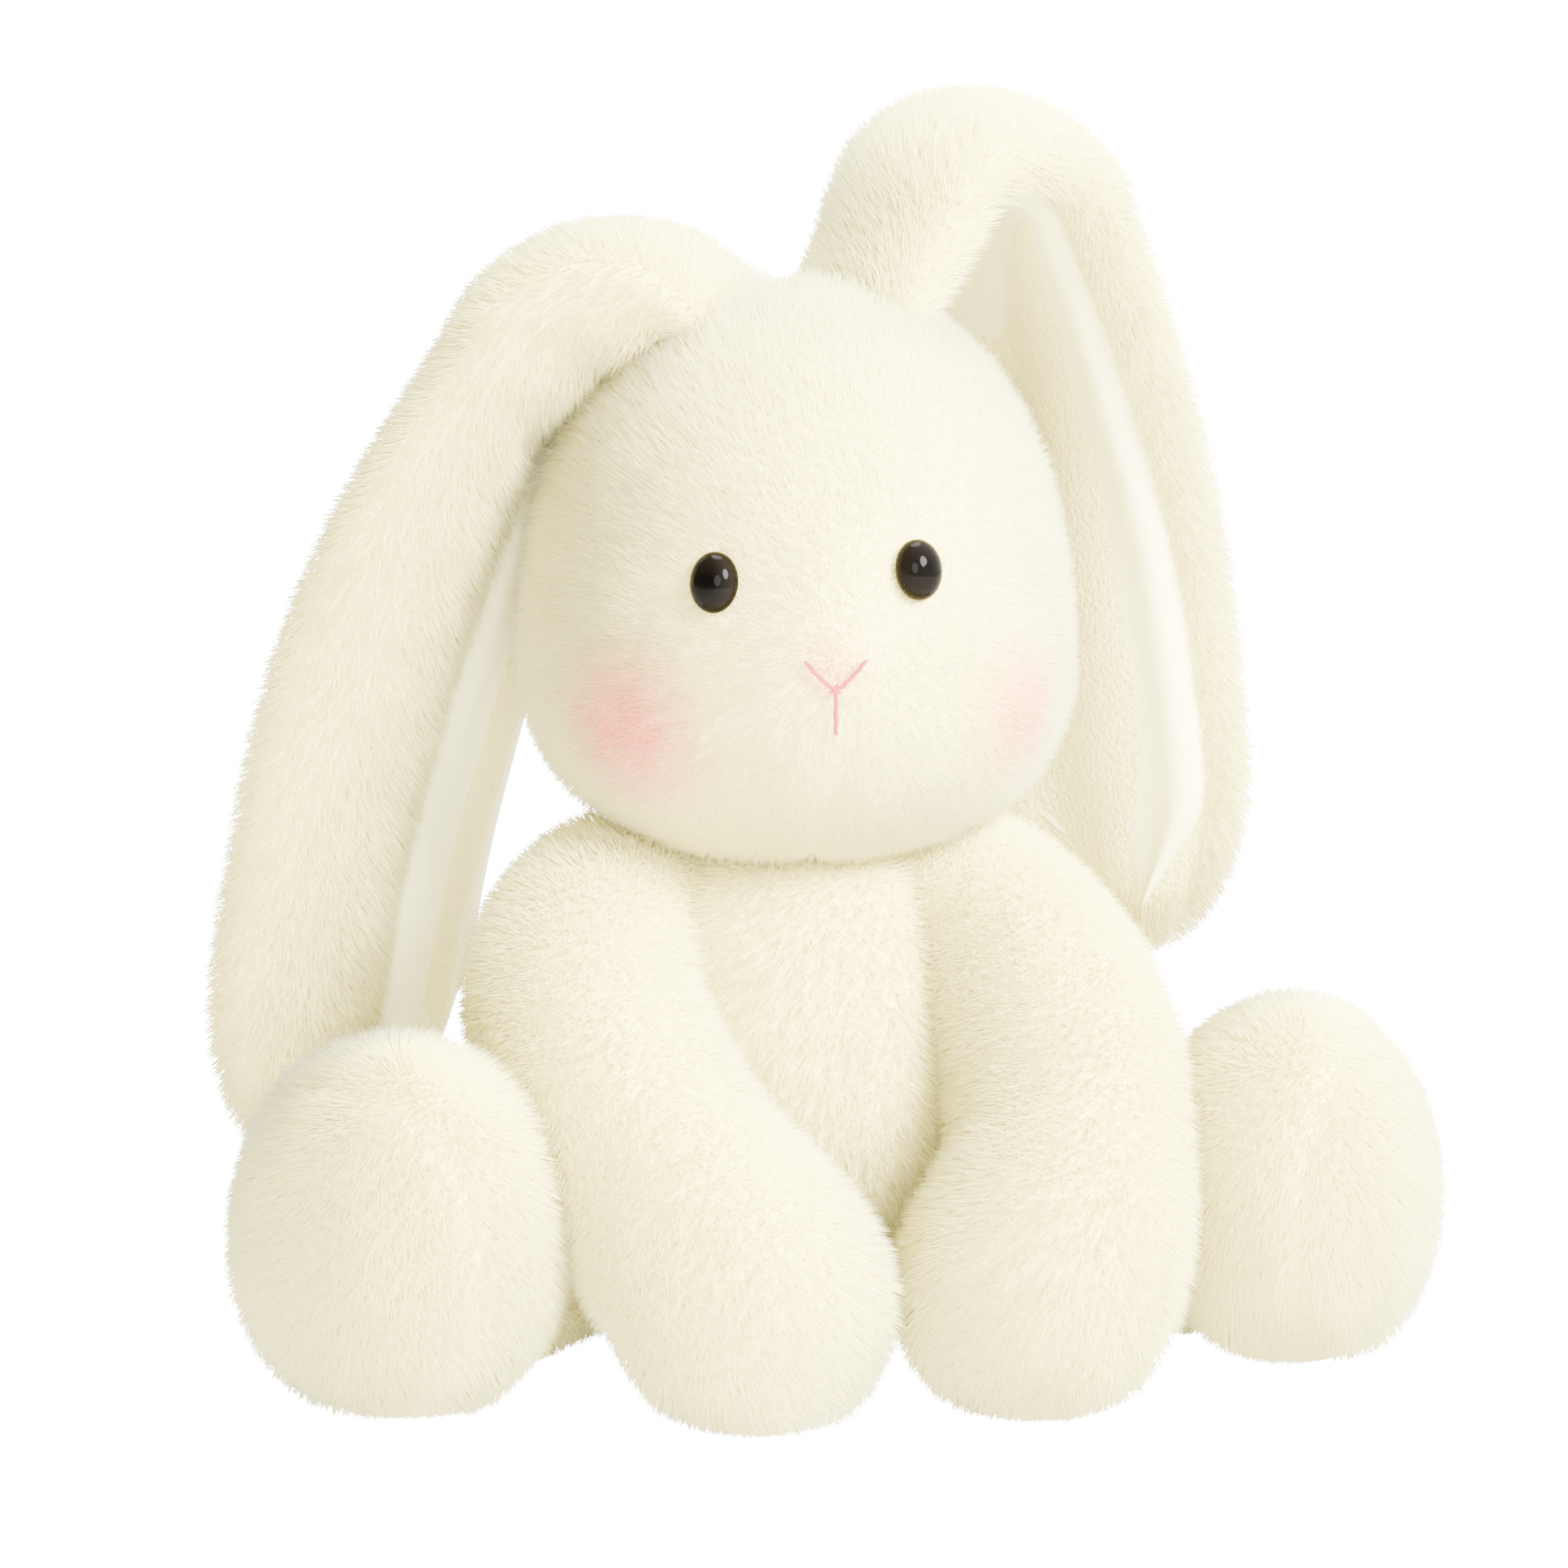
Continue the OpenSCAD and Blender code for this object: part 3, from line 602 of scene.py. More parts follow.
def stitch_tree():
    """Stitches laid one after another along a line of thread"""
    tree = bpy.data.node_groups.new("thread_stitches", "GeometryNodeTree")
    for label, kind in (("Geometry", "Geometry"), ("Stitch spacing", "Float"),
                        ("Stitch length", "Float"), ("Thread width", "Float"),
                        ("Thread finish", "Material")):
        tree.interface.new_socket(label, in_out="INPUT", socket_type="NodeSocket" + kind)
    tree.interface.new_socket("Geometry", in_out="OUTPUT", socket_type="NodeSocketGeometry")
    start = plant(tree, "NodeGroupInput").outputs
    evened = plant(tree, "GeometryNodeResampleCurve", None, {"Curve": start["Geometry"]})
    if "Mode" in evened.inputs:
        evened.inputs["Mode"].default_value = "Length"
    else:
        evened.mode = "LENGTH"
    link(tree, start["Stitch spacing"], evened.inputs["Length"])
    tangent = plant(tree, "GeometryNodeInputTangent").outputs[0]
    stray = plant(tree, "FunctionNodeRandomValue", {"data_type": "FLOAT_VECTOR"},
                  {0: (-0.25, -0.1, -0.25), 1: (0.25, 0.1, 0.25), "Seed": 5}).outputs[0]
    way = plant(tree, "ShaderNodeVectorMath", {"operation": "ADD"}, {0: tangent, 1: stray}).outputs[0]
    aim = plant(tree, "FunctionNodeAlignRotationToVector", {"axis": "Z"}, {"Vector": way})
    bead = plant(tree, "GeometryNodeMeshUVSphere", None, {"Segments": 8, "Rings": 6, "Radius": 0.5})
    size = plant(tree, "ShaderNodeCombineXYZ", None, {
        "X": start["Thread width"], "Y": start["Thread width"], "Z": start["Stitch length"]})
    sewn = plant(tree, "GeometryNodeInstanceOnPoints", None, {
        "Points": evened.outputs[0], "Instance": bead.outputs["Mesh"],
        "Rotation": aim.outputs[0], "Scale": size.outputs[0]})
    real = plant(tree, "GeometryNodeRealizeInstances", None, {"Geometry": sewn.outputs[0]})
    smooth = plant(tree, "GeometryNodeSetShadeSmooth", None, {0: real.outputs[0]})
    dressed = plant(tree, "GeometryNodeSetMaterial", None, {
        "Geometry": smooth.outputs[0], "Material": start["Thread finish"]})
    link(tree, dressed.outputs[0], plant(tree, "NodeGroupOutput").inputs[0])
    return tree


FUR_TREE, STITCH_TREE = fur_tree(), stitch_tree()


def grown_mesh(source, name, tree, inputs, finish):
    """Runs a geometry tree over a source object and keeps the result as a plain mesh"""
    modifier = source.modifiers.new("grow", "NODES")
    modifier.node_group = tree
    for item in tree.interface.items_tree:
        if item.in_out == "INPUT" and item.name in inputs:
            modifier[item.identifier] = inputs[item.name]
    bpy.context.view_layer.update()
    view = bpy.context.evaluated_depsgraph_get()
    mesh = bpy.data.meshes.new_from_object(source.evaluated_get(view), depsgraph=view)
    source.modifiers.remove(modifier)
    mesh.name = name
    mesh.materials.clear()
    mesh.materials.append(finish)
    return new_object(name, mesh)


def strand_map(mesh):
    """Gives each strand's faces a small triangle of their own on a UV map named OFBake"""
    faces = len(mesh.polygons)
    across = max(int(math.ceil(math.sqrt(faces))), 1)
    index = np.arange(faces)
    corner = np.stack([index % across, index // across], 1)[:, None, :]
    shape = np.array([[0.1, 0.1], [0.9, 0.1], [0.5, 0.9]])[None]
    flat = ((corner + shape) / across).reshape(-1, 2)
    layer = mesh.uv_layers.new(name="OFBake")
    layer.data.foreach_set("uv", flat.ravel())


def strand_budget(wanted):
    return int(wanted * (1.0))


def grow_fur(skin, name, body, strands, length, finish, seed, lean=0.7, ruffle=0.22, width=0.34, cover=None,
             across=None):
    """Covers a skin with pile and rides the pile on the skin's body, or bakes its place into its mesh when
    `across` is given
    """
    points = places(skin)
    pile = np.empty(len(points))
    skin.data.attributes["pile"].data.foreach_get("value", pile)
    shown = np.clip(pile * 4, 0, 1) * (cover(points) if cover else 1.0)
    set_field(skin, "cover", shown)
    area = np.zeros(len(points))
    for face in skin.data.polygons:
        for v in face.vertices:
            area[v] += face.area / len(face.vertices)
    count = strand_budget(strands)
    inputs = {"Strands per square metre": count / float(area @ shown), "Pile length": length * MM,
              "Strand width": width * MM * 1.0, "Lean": lean,
              "Ruffle": ruffle, "Seed": seed, "Pile finish": finish}
    fur = grown_mesh(skin, name, FUR_TREE, inputs, finish)
    strand_map(fur.data)
    fur.data.shade_smooth()
    attach(fur, body, across)
    return fur


def attach(piece, body, across=None):
    """Rides a piece on a body, or, when `across` is given, bakes its place into its mesh and rides it on no body
    """
    if across:
        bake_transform(piece)
    else:
        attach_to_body(piece, body)


# ---------------------------------------------------------------- sewn skins and their stuffing


SKINS = []


def sewn_skin(name, rows, finish, seams, cap=3.0):
    """A fur-fabric skin. `seams` gives each point's nearness to a seam, 0 to 1"""
    skin = closed_skin(name, rows)
    skin.data.materials.append(finish)
    points = places(skin)
    near_seam = seams(points)
    group = skin.vertex_groups.new(name="seam")
    for i in np.nonzero(near_seam > 0.5)[0]:
        group.add([int(i)], 1.0, "REPLACE")
    set_field(skin, "seam_share", near_seam)
    SKINS.append((skin, cap))
    return skin


def stuff(skins):
    """Blows every skin up against its seams, which hold, and keeps the shape it takes"""
    before = []
    for skin, _ in skins:
        before.append(places(skin))
        cloth = skin.modifiers.new("stuffing", "CLOTH")
        s = cloth.settings
        s.quality = 5
        s.mass = 0.2
        s.tension_stiffness = s.compression_stiffness = 12
        s.shear_stiffness = 6
        s.bending_stiffness = 1.0
        s.use_pressure = True
        s.uniform_pressure_force = 4.0
        s.effector_weights.gravity = 0
        s.vertex_group_mass = "seam"
        cloth.collision_settings.use_collision = False
        cloth.point_cache.frame_start, cloth.point_cache.frame_end = 1, 20
    scene = bpy.context.scene
    for step in range(1, 21):
        scene.frame_set(step)
    view = bpy.context.evaluated_depsgraph_get()
    after = [places(skin.evaluated_get(view)) for skin, _ in skins]
    for (skin, cap), old, new in zip(skins, before, after):
        skin.modifiers.remove(skin.modifiers["stuffing"])
        move = new - old
        far = np.linalg.norm(move, axis=1, keepdims=True)
        move *= np.minimum(1, cap / np.maximum(far, 1e-6))
        set_places(skin, old + move)
    scene.frame_set(1)


def settle(skin):
    """Flattens what rests on the floor"""
    points = places(skin)
    points[:, 2] = np.maximum(points[:, 2], 0.6)
    set_places(skin, points)


def lay_pile(skin, comb, share=None):
    """How long the pile is at each point, and which way its nap lies"""
    points, out = places(skin), normals(skin)
    seam = np.empty(len(points))
    skin.data.attributes["seam_share"].data.foreach_get("value", seam)
    pile = (1 - 0.45 * seam) * (share(points) if share else 1.0)
    pile *= np.where(out[:, 2] < -0.2, ease(points[:, 2] / 9.0), 1.0)
    nap = comb(points)
    nap = unit(nap - out * np.sum(nap * out, axis=1, keepdims=True))
    set_field(skin, "pile", np.clip(pile, 0, 1.2))
    set_field(skin, "comb", nap, "FLOAT_VECTOR")


def finish_skin(skin, body, fill, across=None, *nodes):
    """The last steps on a skin, when its fur has been grown"""
    rounder = skin.modifiers.new("round", "SUBSURF")
    rounder.levels = rounder.render_levels = 1
    attach(skin, body, across)
    if nodes:
        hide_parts(*nodes)


def no_seam(points):
    return np.zeros(len(points))


# Head: a round ball with full cheeks, a muzzle and a dart under the chin
HEAD_MID = np.array([0, -HEAD_FORWARD, CHEEK_Z], float)
EYE_PLACES = {side: face_point(side * EYE_ANGLE - EYE_TURN, EYE_Z + side * EYE_TILT / 2)
              for side in (LEFT, RIGHT)}


def head_rows():
    rows = []
    for row in egg_rows(HEAD_MID, HEAD_D / 2 - 1.5, CROWN_H + 2, JAW_H - 1, HEAD_POWER, 64, 104):
        out = unit(row - HEAD_MID)
        swell = np.zeros(len(row))
        for side in (LEFT, RIGHT):
            swell += 2.6 * bump(np.linalg.norm(row - CHEEKS[side], axis=1), 26)
            swell -= 2.4 * bump(np.linalg.norm(row - EYE_PLACES[side], axis=1), 11)
        swell += 2.4 * bump(np.linalg.norm(row - NOSE_PLACE, axis=1), 20)
        mouth = face_point(-NOSE_TURN, NOSE_Z - MOUTH_L)
        swell -= 1.2 * bump(np.linalg.norm(row - mouth, axis=1), 9)
        rows.append(row + out * swell[:, None])
    return rows


def head_seams(points):
    """The middle seam over the crown and down the back, and the chin dart"""
    middle = bump(points[:, 0] + 3, 2.2)
    over_top = middle * ((points[:, 1] > -20) | (points[:, 2] < 150))
    return over_top * (points[:, 2] > 122)


head = sewn_skin("head_skin_fur", head_rows(), FACE_BACKING, head_seams, 1.5)


def torso_seams(points):
    sides = bump(points[:, 1] - 2, 2.5)
    back = bump(points[:, 0], 2.2) * (points[:, 1] > 0)
    return np.maximum(sides, back)


def torso_rows():
    """The belly leans forward between the arms, and the shoulders are full under the head"""
    rows = []
    for row in egg_rows([0, 0, BELLY_Z], BELLY_D / 2, TORSO_H - BELLY_Z + 4, SEAT_DROP - 1, 2.35, 48, 80):
        share = ease((row[:, 2] - 60) / 45)
        row[:, 0] *= 1 + 0.16 * share
        front = (row[:, 1] < 0) * bump(row[:, 2] - 58, 42)
        row[:, 1] -= BELLY_FORWARD * front * np.abs(row[:, 1]) / 50
        rows.append(row)
    return rows


BELLY_FORWARD = 12
torso = sewn_skin("torso_skin_fur", torso_rows(), BACKING, torso_seams, 2.0)
tail = sewn_skin("tail_skin_fur", egg_rows([0, BELLY_D / 2 + TAIL_D / 2 - 5, TAIL_Z], TAIL_D / 2 - 1,
                                           TAIL_D / 2 - 1, TAIL_D / 2 - 1, 2, 18, 28), BACKING, no_seam, 1.5)


ARM_PLUMP = 3.0
ARM_LIFT = {LEFT: np.array([-8.0, 0, 3.0]), RIGHT: np.array([-1.0, 0, 4.0])}


def arm_rows(side):
    t = np.linspace(0, 1, 34)
    centres = bezier(arm_curve(side), t)
    upper = SHOULDER_D / 2 + (WRIST_D - SHOULDER_D) / 2 * t / WRIST_AT
    lower = WRIST_D / 2 + (PAW_D - WRIST_D) / 2 * ease((t - WRIST_AT) / (1 - WRIST_AT))
    plump = ARM_PLUMP * np.sin(math.pi * np.clip(t * 0.8 + 0.2, 0, 1)) + 1.5
    lifted = centres + ARM_LIFT[side] * (1 - ease(t * 1.3))[:, None]
    rows = tube_rows(lifted, np.where(t < WRIST_AT, upper, lower) + plump, 48, True, True)
    return mirrored(rows, side)


def arm_seams(side):
    curve = bezier(arm_curve(side), np.linspace(0, 1, 60))
    # The seam runs down the inner side of the arm
    inner = curve + np.array([-1, -0.35, 0]) * 22.0

    def near(points):
        p = mirrored(points, side)
        gap = np.min(np.linalg.norm(p[:, None, :] - inner[None], axis=2), axis=1)
        return bump(gap, 4.0)
    return near


def leg_rows(side):
    t = np.linspace(0, 1, 16)
    centres = HIP + (ankle(side) - HIP) * t[:, None]
    radii = HIP_D / 2 - 1 + (ANKLE_D - HIP_D) / 2 * t + 2.5 * ease(t * 1.4 - 0.4)
    return mirrored(tube_rows(centres, radii, 40, True, True), side)


def leg_seams(side):
    def near(points):
        return bump(points[:, 2] - 6, 2.5)
    return near


def foot_rows(side):
    rows = egg_rows([0, 0, 0], 1, 1, 1, 2.15, 36, 64)
    lean, turn = math.radians(-FOOT_LEAN), math.radians(SPLAY[side])
    out = []
    for row in rows:
        row = row * [FOOT_W / 2 + 1, FOOT_T / 2 + 3.5, FOOT_H / 2]
        row[:, 1] = np.where(row[:, 1] < 0, row[:, 1] * 0.96, row[:, 1])
        y = row[:, 1] * math.cos(lean) - row[:, 2] * math.sin(lean)
        z = row[:, 1] * math.sin(lean) + row[:, 2] * math.cos(lean)
        x = row[:, 0] * math.cos(turn) - y * math.sin(turn)
        out.append(np.stack([x, row[:, 0] * math.sin(turn) + y * math.cos(turn), z], 1) + foot_mid(side))
    return mirrored(out, side)


def foot_seams(side):
    way = leg_dir(side)

    def near(points):
        p = mirrored(points, side) - foot_mid(side)
        return bump(p @ way - 14, 2.4)
    return near


ARMS = {s: sewn_skin(SIDE_NAMES[s] + "_arm_fur_skin", arm_rows(s), BACKING, arm_seams(s), 2.0)
        for s in (LEFT, RIGHT)}
LEGS = {s: sewn_skin(SIDE_NAMES[s] + "_leg_fur_skin", leg_rows(s), BACKING, leg_seams(s), 1.5)
        for s in (LEFT, RIGHT)}
FEET = {s: sewn_skin(SIDE_NAMES[s] + "_foot_fur_skin", foot_rows(s), BACKING, foot_seams(s), 2.0)
        for s in (LEFT, RIGHT)}

# Ears
EAR_SIDES = 56
EAR_TURN = np.arange(EAR_SIDES) * 2 * math.pi / EAR_SIDES


def ear_rows(side):
    e = EAR[side]
    u = np.cos(EAR_TURN)
    v = np.where(np.sin(EAR_TURN) >= 0, front_height(u) - 1.2, back_height(u))
    v = np.where(np.abs(u) > 0.999, 0, v)
    end = ear_length(e) - 0.4
    stops = -9 + (end + 9) * np.linspace(0, 1, 84) ** 0.97
    return mirrored([ear_row(e, s, u, v) for s in stops], side)


def ear_station(side, points):
    """For each point: how far along its ear it is, and which layer it lies in"""
    e = EAR[side]
    stops = np.linspace(-8, ear_length(e), 150)
    line = np.array([ear_point(e, s) for s in stops])
    axes = [ear_axes(e, s) for s in stops]
    p = mirrored(points, side)
    nearest = np.empty(len(p), int)
    for first in range(0, len(p), 4000):
        part = p[first:first + 4000]
        along = np.array([a[0] for a in axes])
        gap = np.abs(np.einsum("pak,ak->pa", part[:, None, :] - line[None], along))
        far = np.linalg.norm(part[:, None, :] - line[None], axis=2)
        nearest[first:first + 4000] = np.argmin(gap + far * 0.6, axis=1)
    off = p - line[nearest]
    across = np.array([a[1] for a in axes])[nearest]
    facing = np.array([a[2] for a in axes])[nearest]
    half = np.array([ear_half_width(e, s) for s in stops])[nearest]
    u = np.sum(off * across, axis=1) / np.maximum(half, 1)
    v = np.sum(off * facing, axis=1)
    along = np.array([a[0] for a in axes])[nearest]
    return stops[nearest], u, v, mirrored(along, side), mirrored(across, side)


def ear_seams(side):
    def near(points):
        s, u, v, _, _ = ear_station(side, points)
        return bump(u - lining_seam(side, s), 0.05) * (v > 0)
    return near


EAR_SKINS = {s: sewn_skin(SIDE_NAMES[s] + "_ear_fur_skin", ear_rows(s), BACKING, ear_seams(s), 1.2)
             for s in (LEFT, RIGHT)}


def lining_rows(side):
    """A thin padded strip that swells along both seams and dips in the middle"""
    e = EAR[side]
    t = np.linspace(0, 1, 44)
    rows = []
    for s in np.linspace(LINING_FROM[side], ear_length(e) * 0.955, 90):
        seam, inner = lining_seam(side, s), lining_inner(side, s)
        near_tip = 1 - ease((s / ear_length(e) - 0.84) / 0.115)
        u_top = inner + (seam + 0.03 - inner) * t
        roll = 2.4 * bump(u_top - seam + 0.13, 0.14) + 0.9
        v_top = front_height(u_top) - 1.2 + roll - 3.0 * t ** 30 - 0.5 * (1 - t) ** 20
        u = np.concatenate([u_top, u_top[::-1]])
        v = np.concatenate([v_top, front_height(u_top[::-1]) - 3.0])
        rows.append(ear_row(e, s, LINING_TIP[side] + (u - LINING_TIP[side]) * (0.2 + 0.8 * near_tip), v))
    return mirrored(rows, side)


stuff(SKINS)
for skin, _ in SKINS:
    settle(skin)

# ---------------------------------------------------------------- nap and fur


def head_nap(points):
    away = points - (NOSE_PLACE + [0, 0, 4])
    back = np.array([0, 0.4, -1.0])
    share = ease((points[:, 1:2] + 30) / 50)
    return unit(away) * (1 - share) + back * share


def head_share_of_pile(points):
    front = ease((-points[:, 1] - 20) / 40)
    pile = 1 - 0.34 * front
    pile *= 1 - 0.5 * bump(np.linalg.norm(points - NOSE_PLACE, axis=1), 13)
    for side in (LEFT, RIGHT):
        gap = np.linalg.norm(points - EYE_PLACES[side], axis=1)
        pile *= 1 - 0.45 * bump(gap, 11)
        pile = np.where(gap < EYE_W / 2 - 1.4, 0, pile)
    return pile


lay_pile(head, head_nap, head_share_of_pile)
lay_pile(torso, lambda p: np.tile([0, 0, -1.0], (len(p), 1)))
lay_pile(tail, lambda p: np.tile([0, 0.6, -1.0], (len(p), 1)))


def front_half(points):
    return (points[:, 1] < -14).astype(float)


def back_half(points):
    return 1 - front_half(points)


grow_fur(head, "head_fur_face", "head", 65000, 5.6, FACE_PILE, 11, lean=0.75, cover=front_half, width=0.3)
grow_fur(head, "head_fur_back", "head", 56000, 6.2, PILE, 12, cover=back_half)
finish_skin(head, "head", 0.9, None, "head_skin", "head_stuffing")
grow_fur(torso, "torso_fur", "torso", 52000, 6.2, PILE, 21)
finish_skin(torso, "torso", 0.8, None, "torso_skin", "torso_stuffing", "seat_bean_pouch")
grow_fur(tail, "tail_fur", "torso", 12000, 8.0, PILE, 22, ruffle=0.35)
finish_skin(tail, "torso", 0.9, None, "tail_skin", "tail_stuffing")

for side in (LEFT, RIGHT):
    name = SIDE_NAMES[side]
    curve = mirrored(bezier(arm_curve(side), np.linspace(0, 1, 40)), side)
    down_arm = unit(np.gradient(curve, axis=0))

    def arm_nap(points, curve=curve, down_arm=down_arm):
        nearest = np.argmin(np.linalg.norm(points[:, None] - curve[None], axis=2), axis=1)
        return down_arm[nearest]

    lay_pile(ARMS[side], arm_nap)
    grow_fur(ARMS[side], name + "_arm_fur", name + "_arm", 52000, 6.0, PILE, 30 + side)
    finish_skin(ARMS[side], name + "_arm", 0.85, None, name + "_arm_skin", name + "_arm_stuffing")

    way = mirrored(leg_dir(side), side)
    lay_pile(LEGS[side], lambda p, way=way: np.tile(way, (len(p), 1)))
    grow_fur(LEGS[side], name + "_leg_fur", name + "_leg", 18000, 6.0, PILE, 40 + side)
    finish_skin(LEGS[side], name + "_leg", 0.85, None, name + "_leg_skin", name + "_leg_stuffing")

    middle = mirrored(foot_mid(side), side)
    lay_pile(FEET[side], lambda p, m=middle: unit(p - m) * [1, 1, 0.3] + np.array([0, 0, -0.5]))
    grow_fur(FEET[side], name + "_foot_fur", name + "_foot", 44000, 6.2, PILE, 50 + side)
    finish_skin(FEET[side], name + "_foot", 0.85, None, name + "_foot_skin", name + "_foot_stuffing",
                name + "_foot_bean_pouch")

    # Ears: skin, fur and lining, with their places baked into their meshes
    e = EAR[side]
    skin = EAR_SKINS[side]
    bend = [tuple(mirrored(ear_point(e, bend_at(e) + step), side) * MM) for step in (-11, 11)]
    across = (name + "_ear_flap", bend[0], bend[1])
    s_at, u, v, along, wide = ear_station(side, places(skin))
    rim = np.clip((u - lining_seam(side, s_at) + 0.03) / 0.06, 0, 1)
    inner_rim = np.clip((lining_inner(side, s_at) + 0.04 - u) / 0.06, 0, 1)
    rim = np.maximum(rim, inner_rim * (LINING_DRAWS_IN[side] > 0))
    rim = np.maximum(rim, np.clip((s_at / ear_length(e) - 0.93) / 0.02, 0, 1))
    furry = np.where((v > 0) & (s_at > LINING_FROM[side] + 1), rim, 1.0)

    def ear_nap(points, along=along, wide=wide, u=u):
        return along + wide * (u * 0.9)[:, None]

    lay_pile(skin, ear_nap, lambda p, furry=furry: furry)
    grow_fur(skin, name + "_ear_fur", name + "_ear_root", 66000, 6.6, PILE, 60 + side, across=across)
    finish_skin(skin, name + "_ear_root", 0.6, across, name + "_ear_root_back", name + "_ear_root_wadding",
                name + "_ear_flap_back", name + "_ear_flap_wadding")
    lining = closed_skin(name + "_ear_lining", lining_rows(side))
    lining.data.materials.append(LINING)
    rounder = lining.modifiers.new("round", "SUBSURF")
    rounder.levels = rounder.render_levels = 1
    attach(lining, name + "_ear_root", across)
    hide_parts(name + "_ear_root_lining", name + "_ear_flap_lining")

# ---------------------------------------------------------------- neck, eyes, nose, label

neck = closed_skin("neck_gusset", egg_rows([0, 0, NECK_Z], NECK_D / 2 - 0.5, NECK_D / 2 - 0.5,
                                           NECK_D / 2 - 0.5, 2, 18, 32))
neck.data.materials.append(BACKING)
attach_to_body(neck, "neck")
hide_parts("neck_stuffing")

for side in (LEFT, RIGHT):
    name = SIDE_NAMES[side]
    turn, lift = math.radians(side * EYE_ANGLE - EYE_TURN), math.radians(EYE_LIFT)
    out = np.array([math.sin(turn) * math.cos(lift), -math.cos(turn) * math.cos(lift), math.sin(lift)])
    level = np.array([math.cos(turn), math.sin(turn), 0])
    upright = np.cross(out, level)
    rows = []
    for step in range(1, 20):
        a = math.radians(-90 + 180 * step / 20)
        ring = np.arange(40)[:, None] * 2 * math.pi / 40
        rise = EYE_RISE * math.sin(a) * (1.0 if a > 0 else 0.6)
        flat = math.cos(a)
        rows.append(EYE_PLACES[side] + out * rise + flat * (
            level * np.cos(ring) * EYE_W / 2 + upright * np.sin(ring) * EYE_H / 2))
    eye = closed_skin(name + "_eye_dome", rows)
    eye.data.materials.append(eye_finish(name + "_eye_gloss", EYE_PLACES[side] + out * EYE_RISE))
    rounder = eye.modifiers.new("round", "SUBSURF")
    rounder.levels = rounder.render_levels = 1
    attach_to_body(eye, "head")
    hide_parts(name + "_eye", name + "_eye_washer")


def on_face(angle, z, proud):
    p = face_point(angle, z)
    return p + unit(p - HEAD_MID) * proud


half_angle = math.degrees(math.asin(NOSE_W / HEAD_D))
thread_lines = [
    [(side * half_angle * t - NOSE_TURN, NOSE_Z + NOSE_V_H * t ** 1.3) for t in np.linspace(0, 1, 9)]
    for side in (LEFT, RIGHT)
] + [[(-NOSE_TURN, NOSE_Z - MOUTH_L * t) for t in np.linspace(0, 1, 9)]]
line = bpy.data.curves.new("nose_line", "CURVE")
line.dimensions = "3D"
for course in thread_lines:
    spline = line.splines.new("POLY")
    spline.points.add(len(course) - 1)
    for dot, (angle, z) in zip(spline.points, course):
        dot.co = (*(on_face(angle, z, 3.6) * MM), 1)
guide = new_object("nose_line", line)
nose = grown_mesh(guide, "nose_stitches", STITCH_TREE, {
    "Stitch spacing": 1.1 * MM, "Stitch length": 3.0 * MM, "Thread width": 1.05 * MM,
    "Thread finish": THREAD}, THREAD)
bpy.data.objects.remove(guide)
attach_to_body(nose, "head")
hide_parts("nose_embroidery")

label = bpy.data.objects["blank_label"]
for slot_of in label.material_slots:
    slot_of.material = LABEL
if not label.material_slots:
    label.data.materials.append(LABEL)

# ---------------------------------------------------------------- floor, light and camera


def plain(name, colour, roughness):
    finish = Finish(name)
    return finish.surface(colour, roughness)


floor_mesh = bpy.data.meshes.new("floor")
reach = 6.0
floor_mesh.from_pydata([(-reach, -reach, 0), (reach, -reach, 0), (reach, reach, 0), (-reach, reach, 0)],
                       [], [(0, 1, 2, 3)])
floor_mesh.materials.append(plain("pale_floor", rgba(0.97, 0.97, 0.97), 0.7))
floor = new_object("floor", floor_mesh)
# The floor only bounces light: the backdrop shows through it as plain white
floor.visible_camera = False


def soft_light(name, place, aim, size, power, colour=(1, 1, 1)):
    lamp = bpy.data.lights.new(name, "AREA")
    lamp.shape, lamp.size, lamp.energy, lamp.color = "DISK", size, power, colour
    obj = new_object(name, lamp)
    obj.location = place
    obj.rotation_euler = (Vector(aim) - Vector(place)).to_track_quat("-Z", "Y").to_euler()
    return obj


TARGET = Vector((-0.0025, 0.0, 0.134))
LAMP_SIZE, KEY_WATTS, FILL_WATTS, TOP_WATTS, WARM = 1.0, 420, 60, 90, (1.0, 0.985, 0.95)
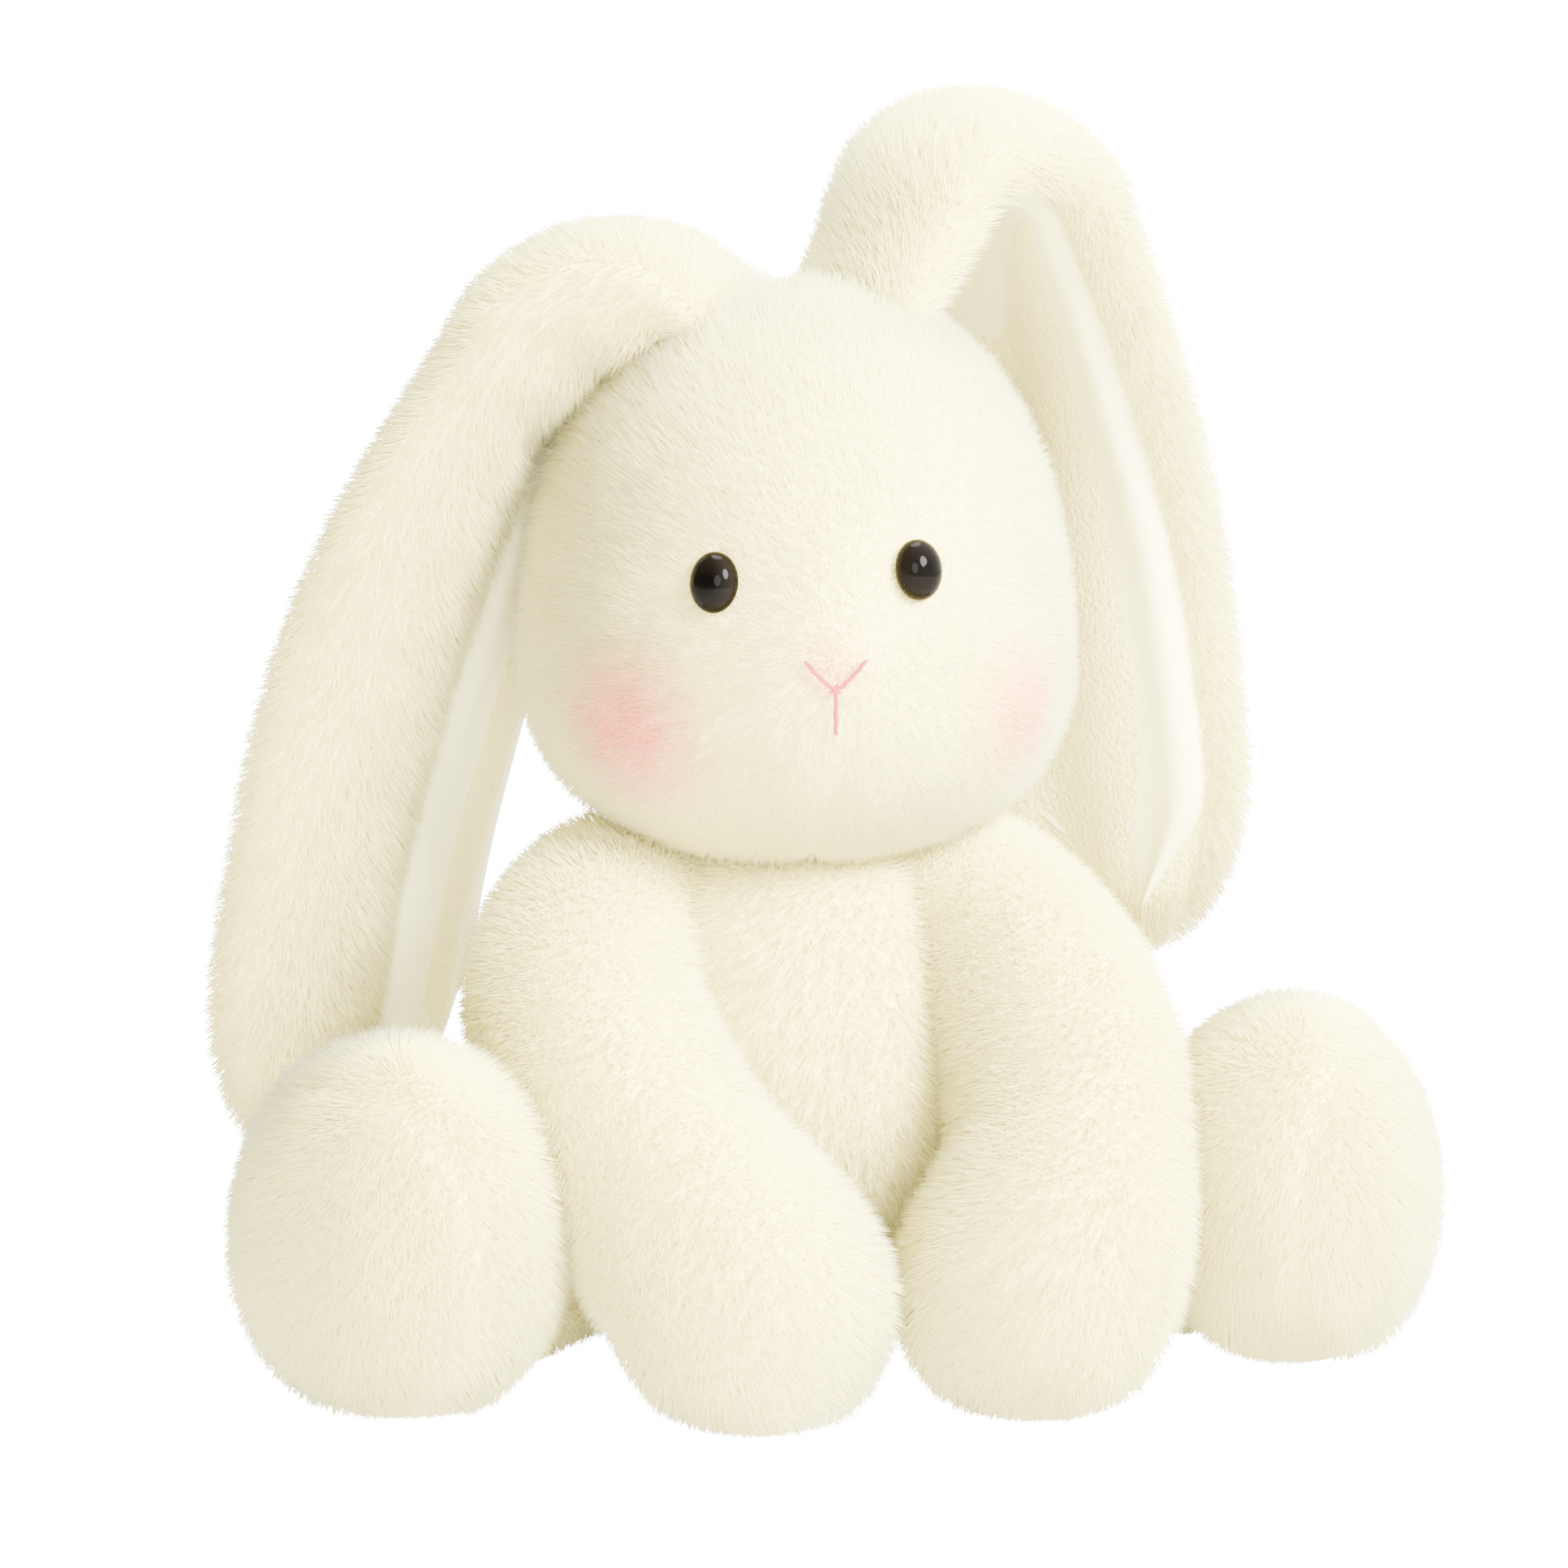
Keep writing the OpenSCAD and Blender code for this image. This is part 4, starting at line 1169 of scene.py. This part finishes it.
# Strength of the room's glow on its dim side and on its bright side, and where along X the change starts and ends
ROOM_DIM, ROOM_BRIGHT, DIM_UP_TO, BRIGHT_FROM = 0.35, 9.5, -0.45, 0.6
BACKDROP = 40.0
soft_light("key", (1.0, -1.6, 1.3), TARGET, LAMP_SIZE, KEY_WATTS, WARM)
soft_light("fill", (-0.3, -2.0, 0.8), TARGET, LAMP_SIZE, FILL_WATTS)
soft_light("top", (0.1, 0.3, 1.7), TARGET, LAMP_SIZE, TOP_WATTS)

world = bpy.data.worlds.new("studio")
world.use_nodes = True
sky = world.node_tree
around = sky.nodes.new("ShaderNodeTexCoord")
sides = plant(sky, "ShaderNodeSeparateXYZ")
link(sky, around.outputs["Generated"], sides.inputs[0])
# The room is darker to the left of the camera, and its backdrop is white
glow = plant(sky, "ShaderNodeMapRange", sockets={
    "From Min": DIM_UP_TO, "From Max": BRIGHT_FROM, "To Min": ROOM_DIM, "To Max": ROOM_BRIGHT})
link(sky, sides.outputs["X"], glow.inputs["Value"])
seen = plant(sky, "ShaderNodeLightPath")
pick = plant(sky, "ShaderNodeMix", {"data_type": "FLOAT"}, {3: BACKDROP})
link(sky, seen.outputs["Is Camera Ray"], pick.inputs[0])
link(sky, glow.outputs["Result"], pick.inputs[2])
link(sky, pick.outputs[0], sky.nodes["Background"].inputs["Strength"])
sky.nodes["Background"].inputs["Color"].default_value = rgba(1.0, 1.0, 0.99)
bpy.context.scene.world = world

SENSOR_WIDTH, FOCAL_LENGTH, CAMERA_DISTANCE = 36, 121.1, 1.3
lens = bpy.data.cameras.new("camera")
lens.sensor_width, lens.lens = SENSOR_WIDTH, FOCAL_LENGTH
camera = new_object("camera", lens)
azimuth, elevation, distance = math.radians(-10.5), math.radians(10), CAMERA_DISTANCE
camera.location = TARGET + distance * Vector((
    math.sin(azimuth) * math.cos(elevation), -math.cos(azimuth) * math.cos(elevation), math.sin(elevation)))
camera.rotation_euler = (TARGET - camera.location).to_track_quat("-Z", "Y").to_euler()
bpy.context.scene.camera = camera
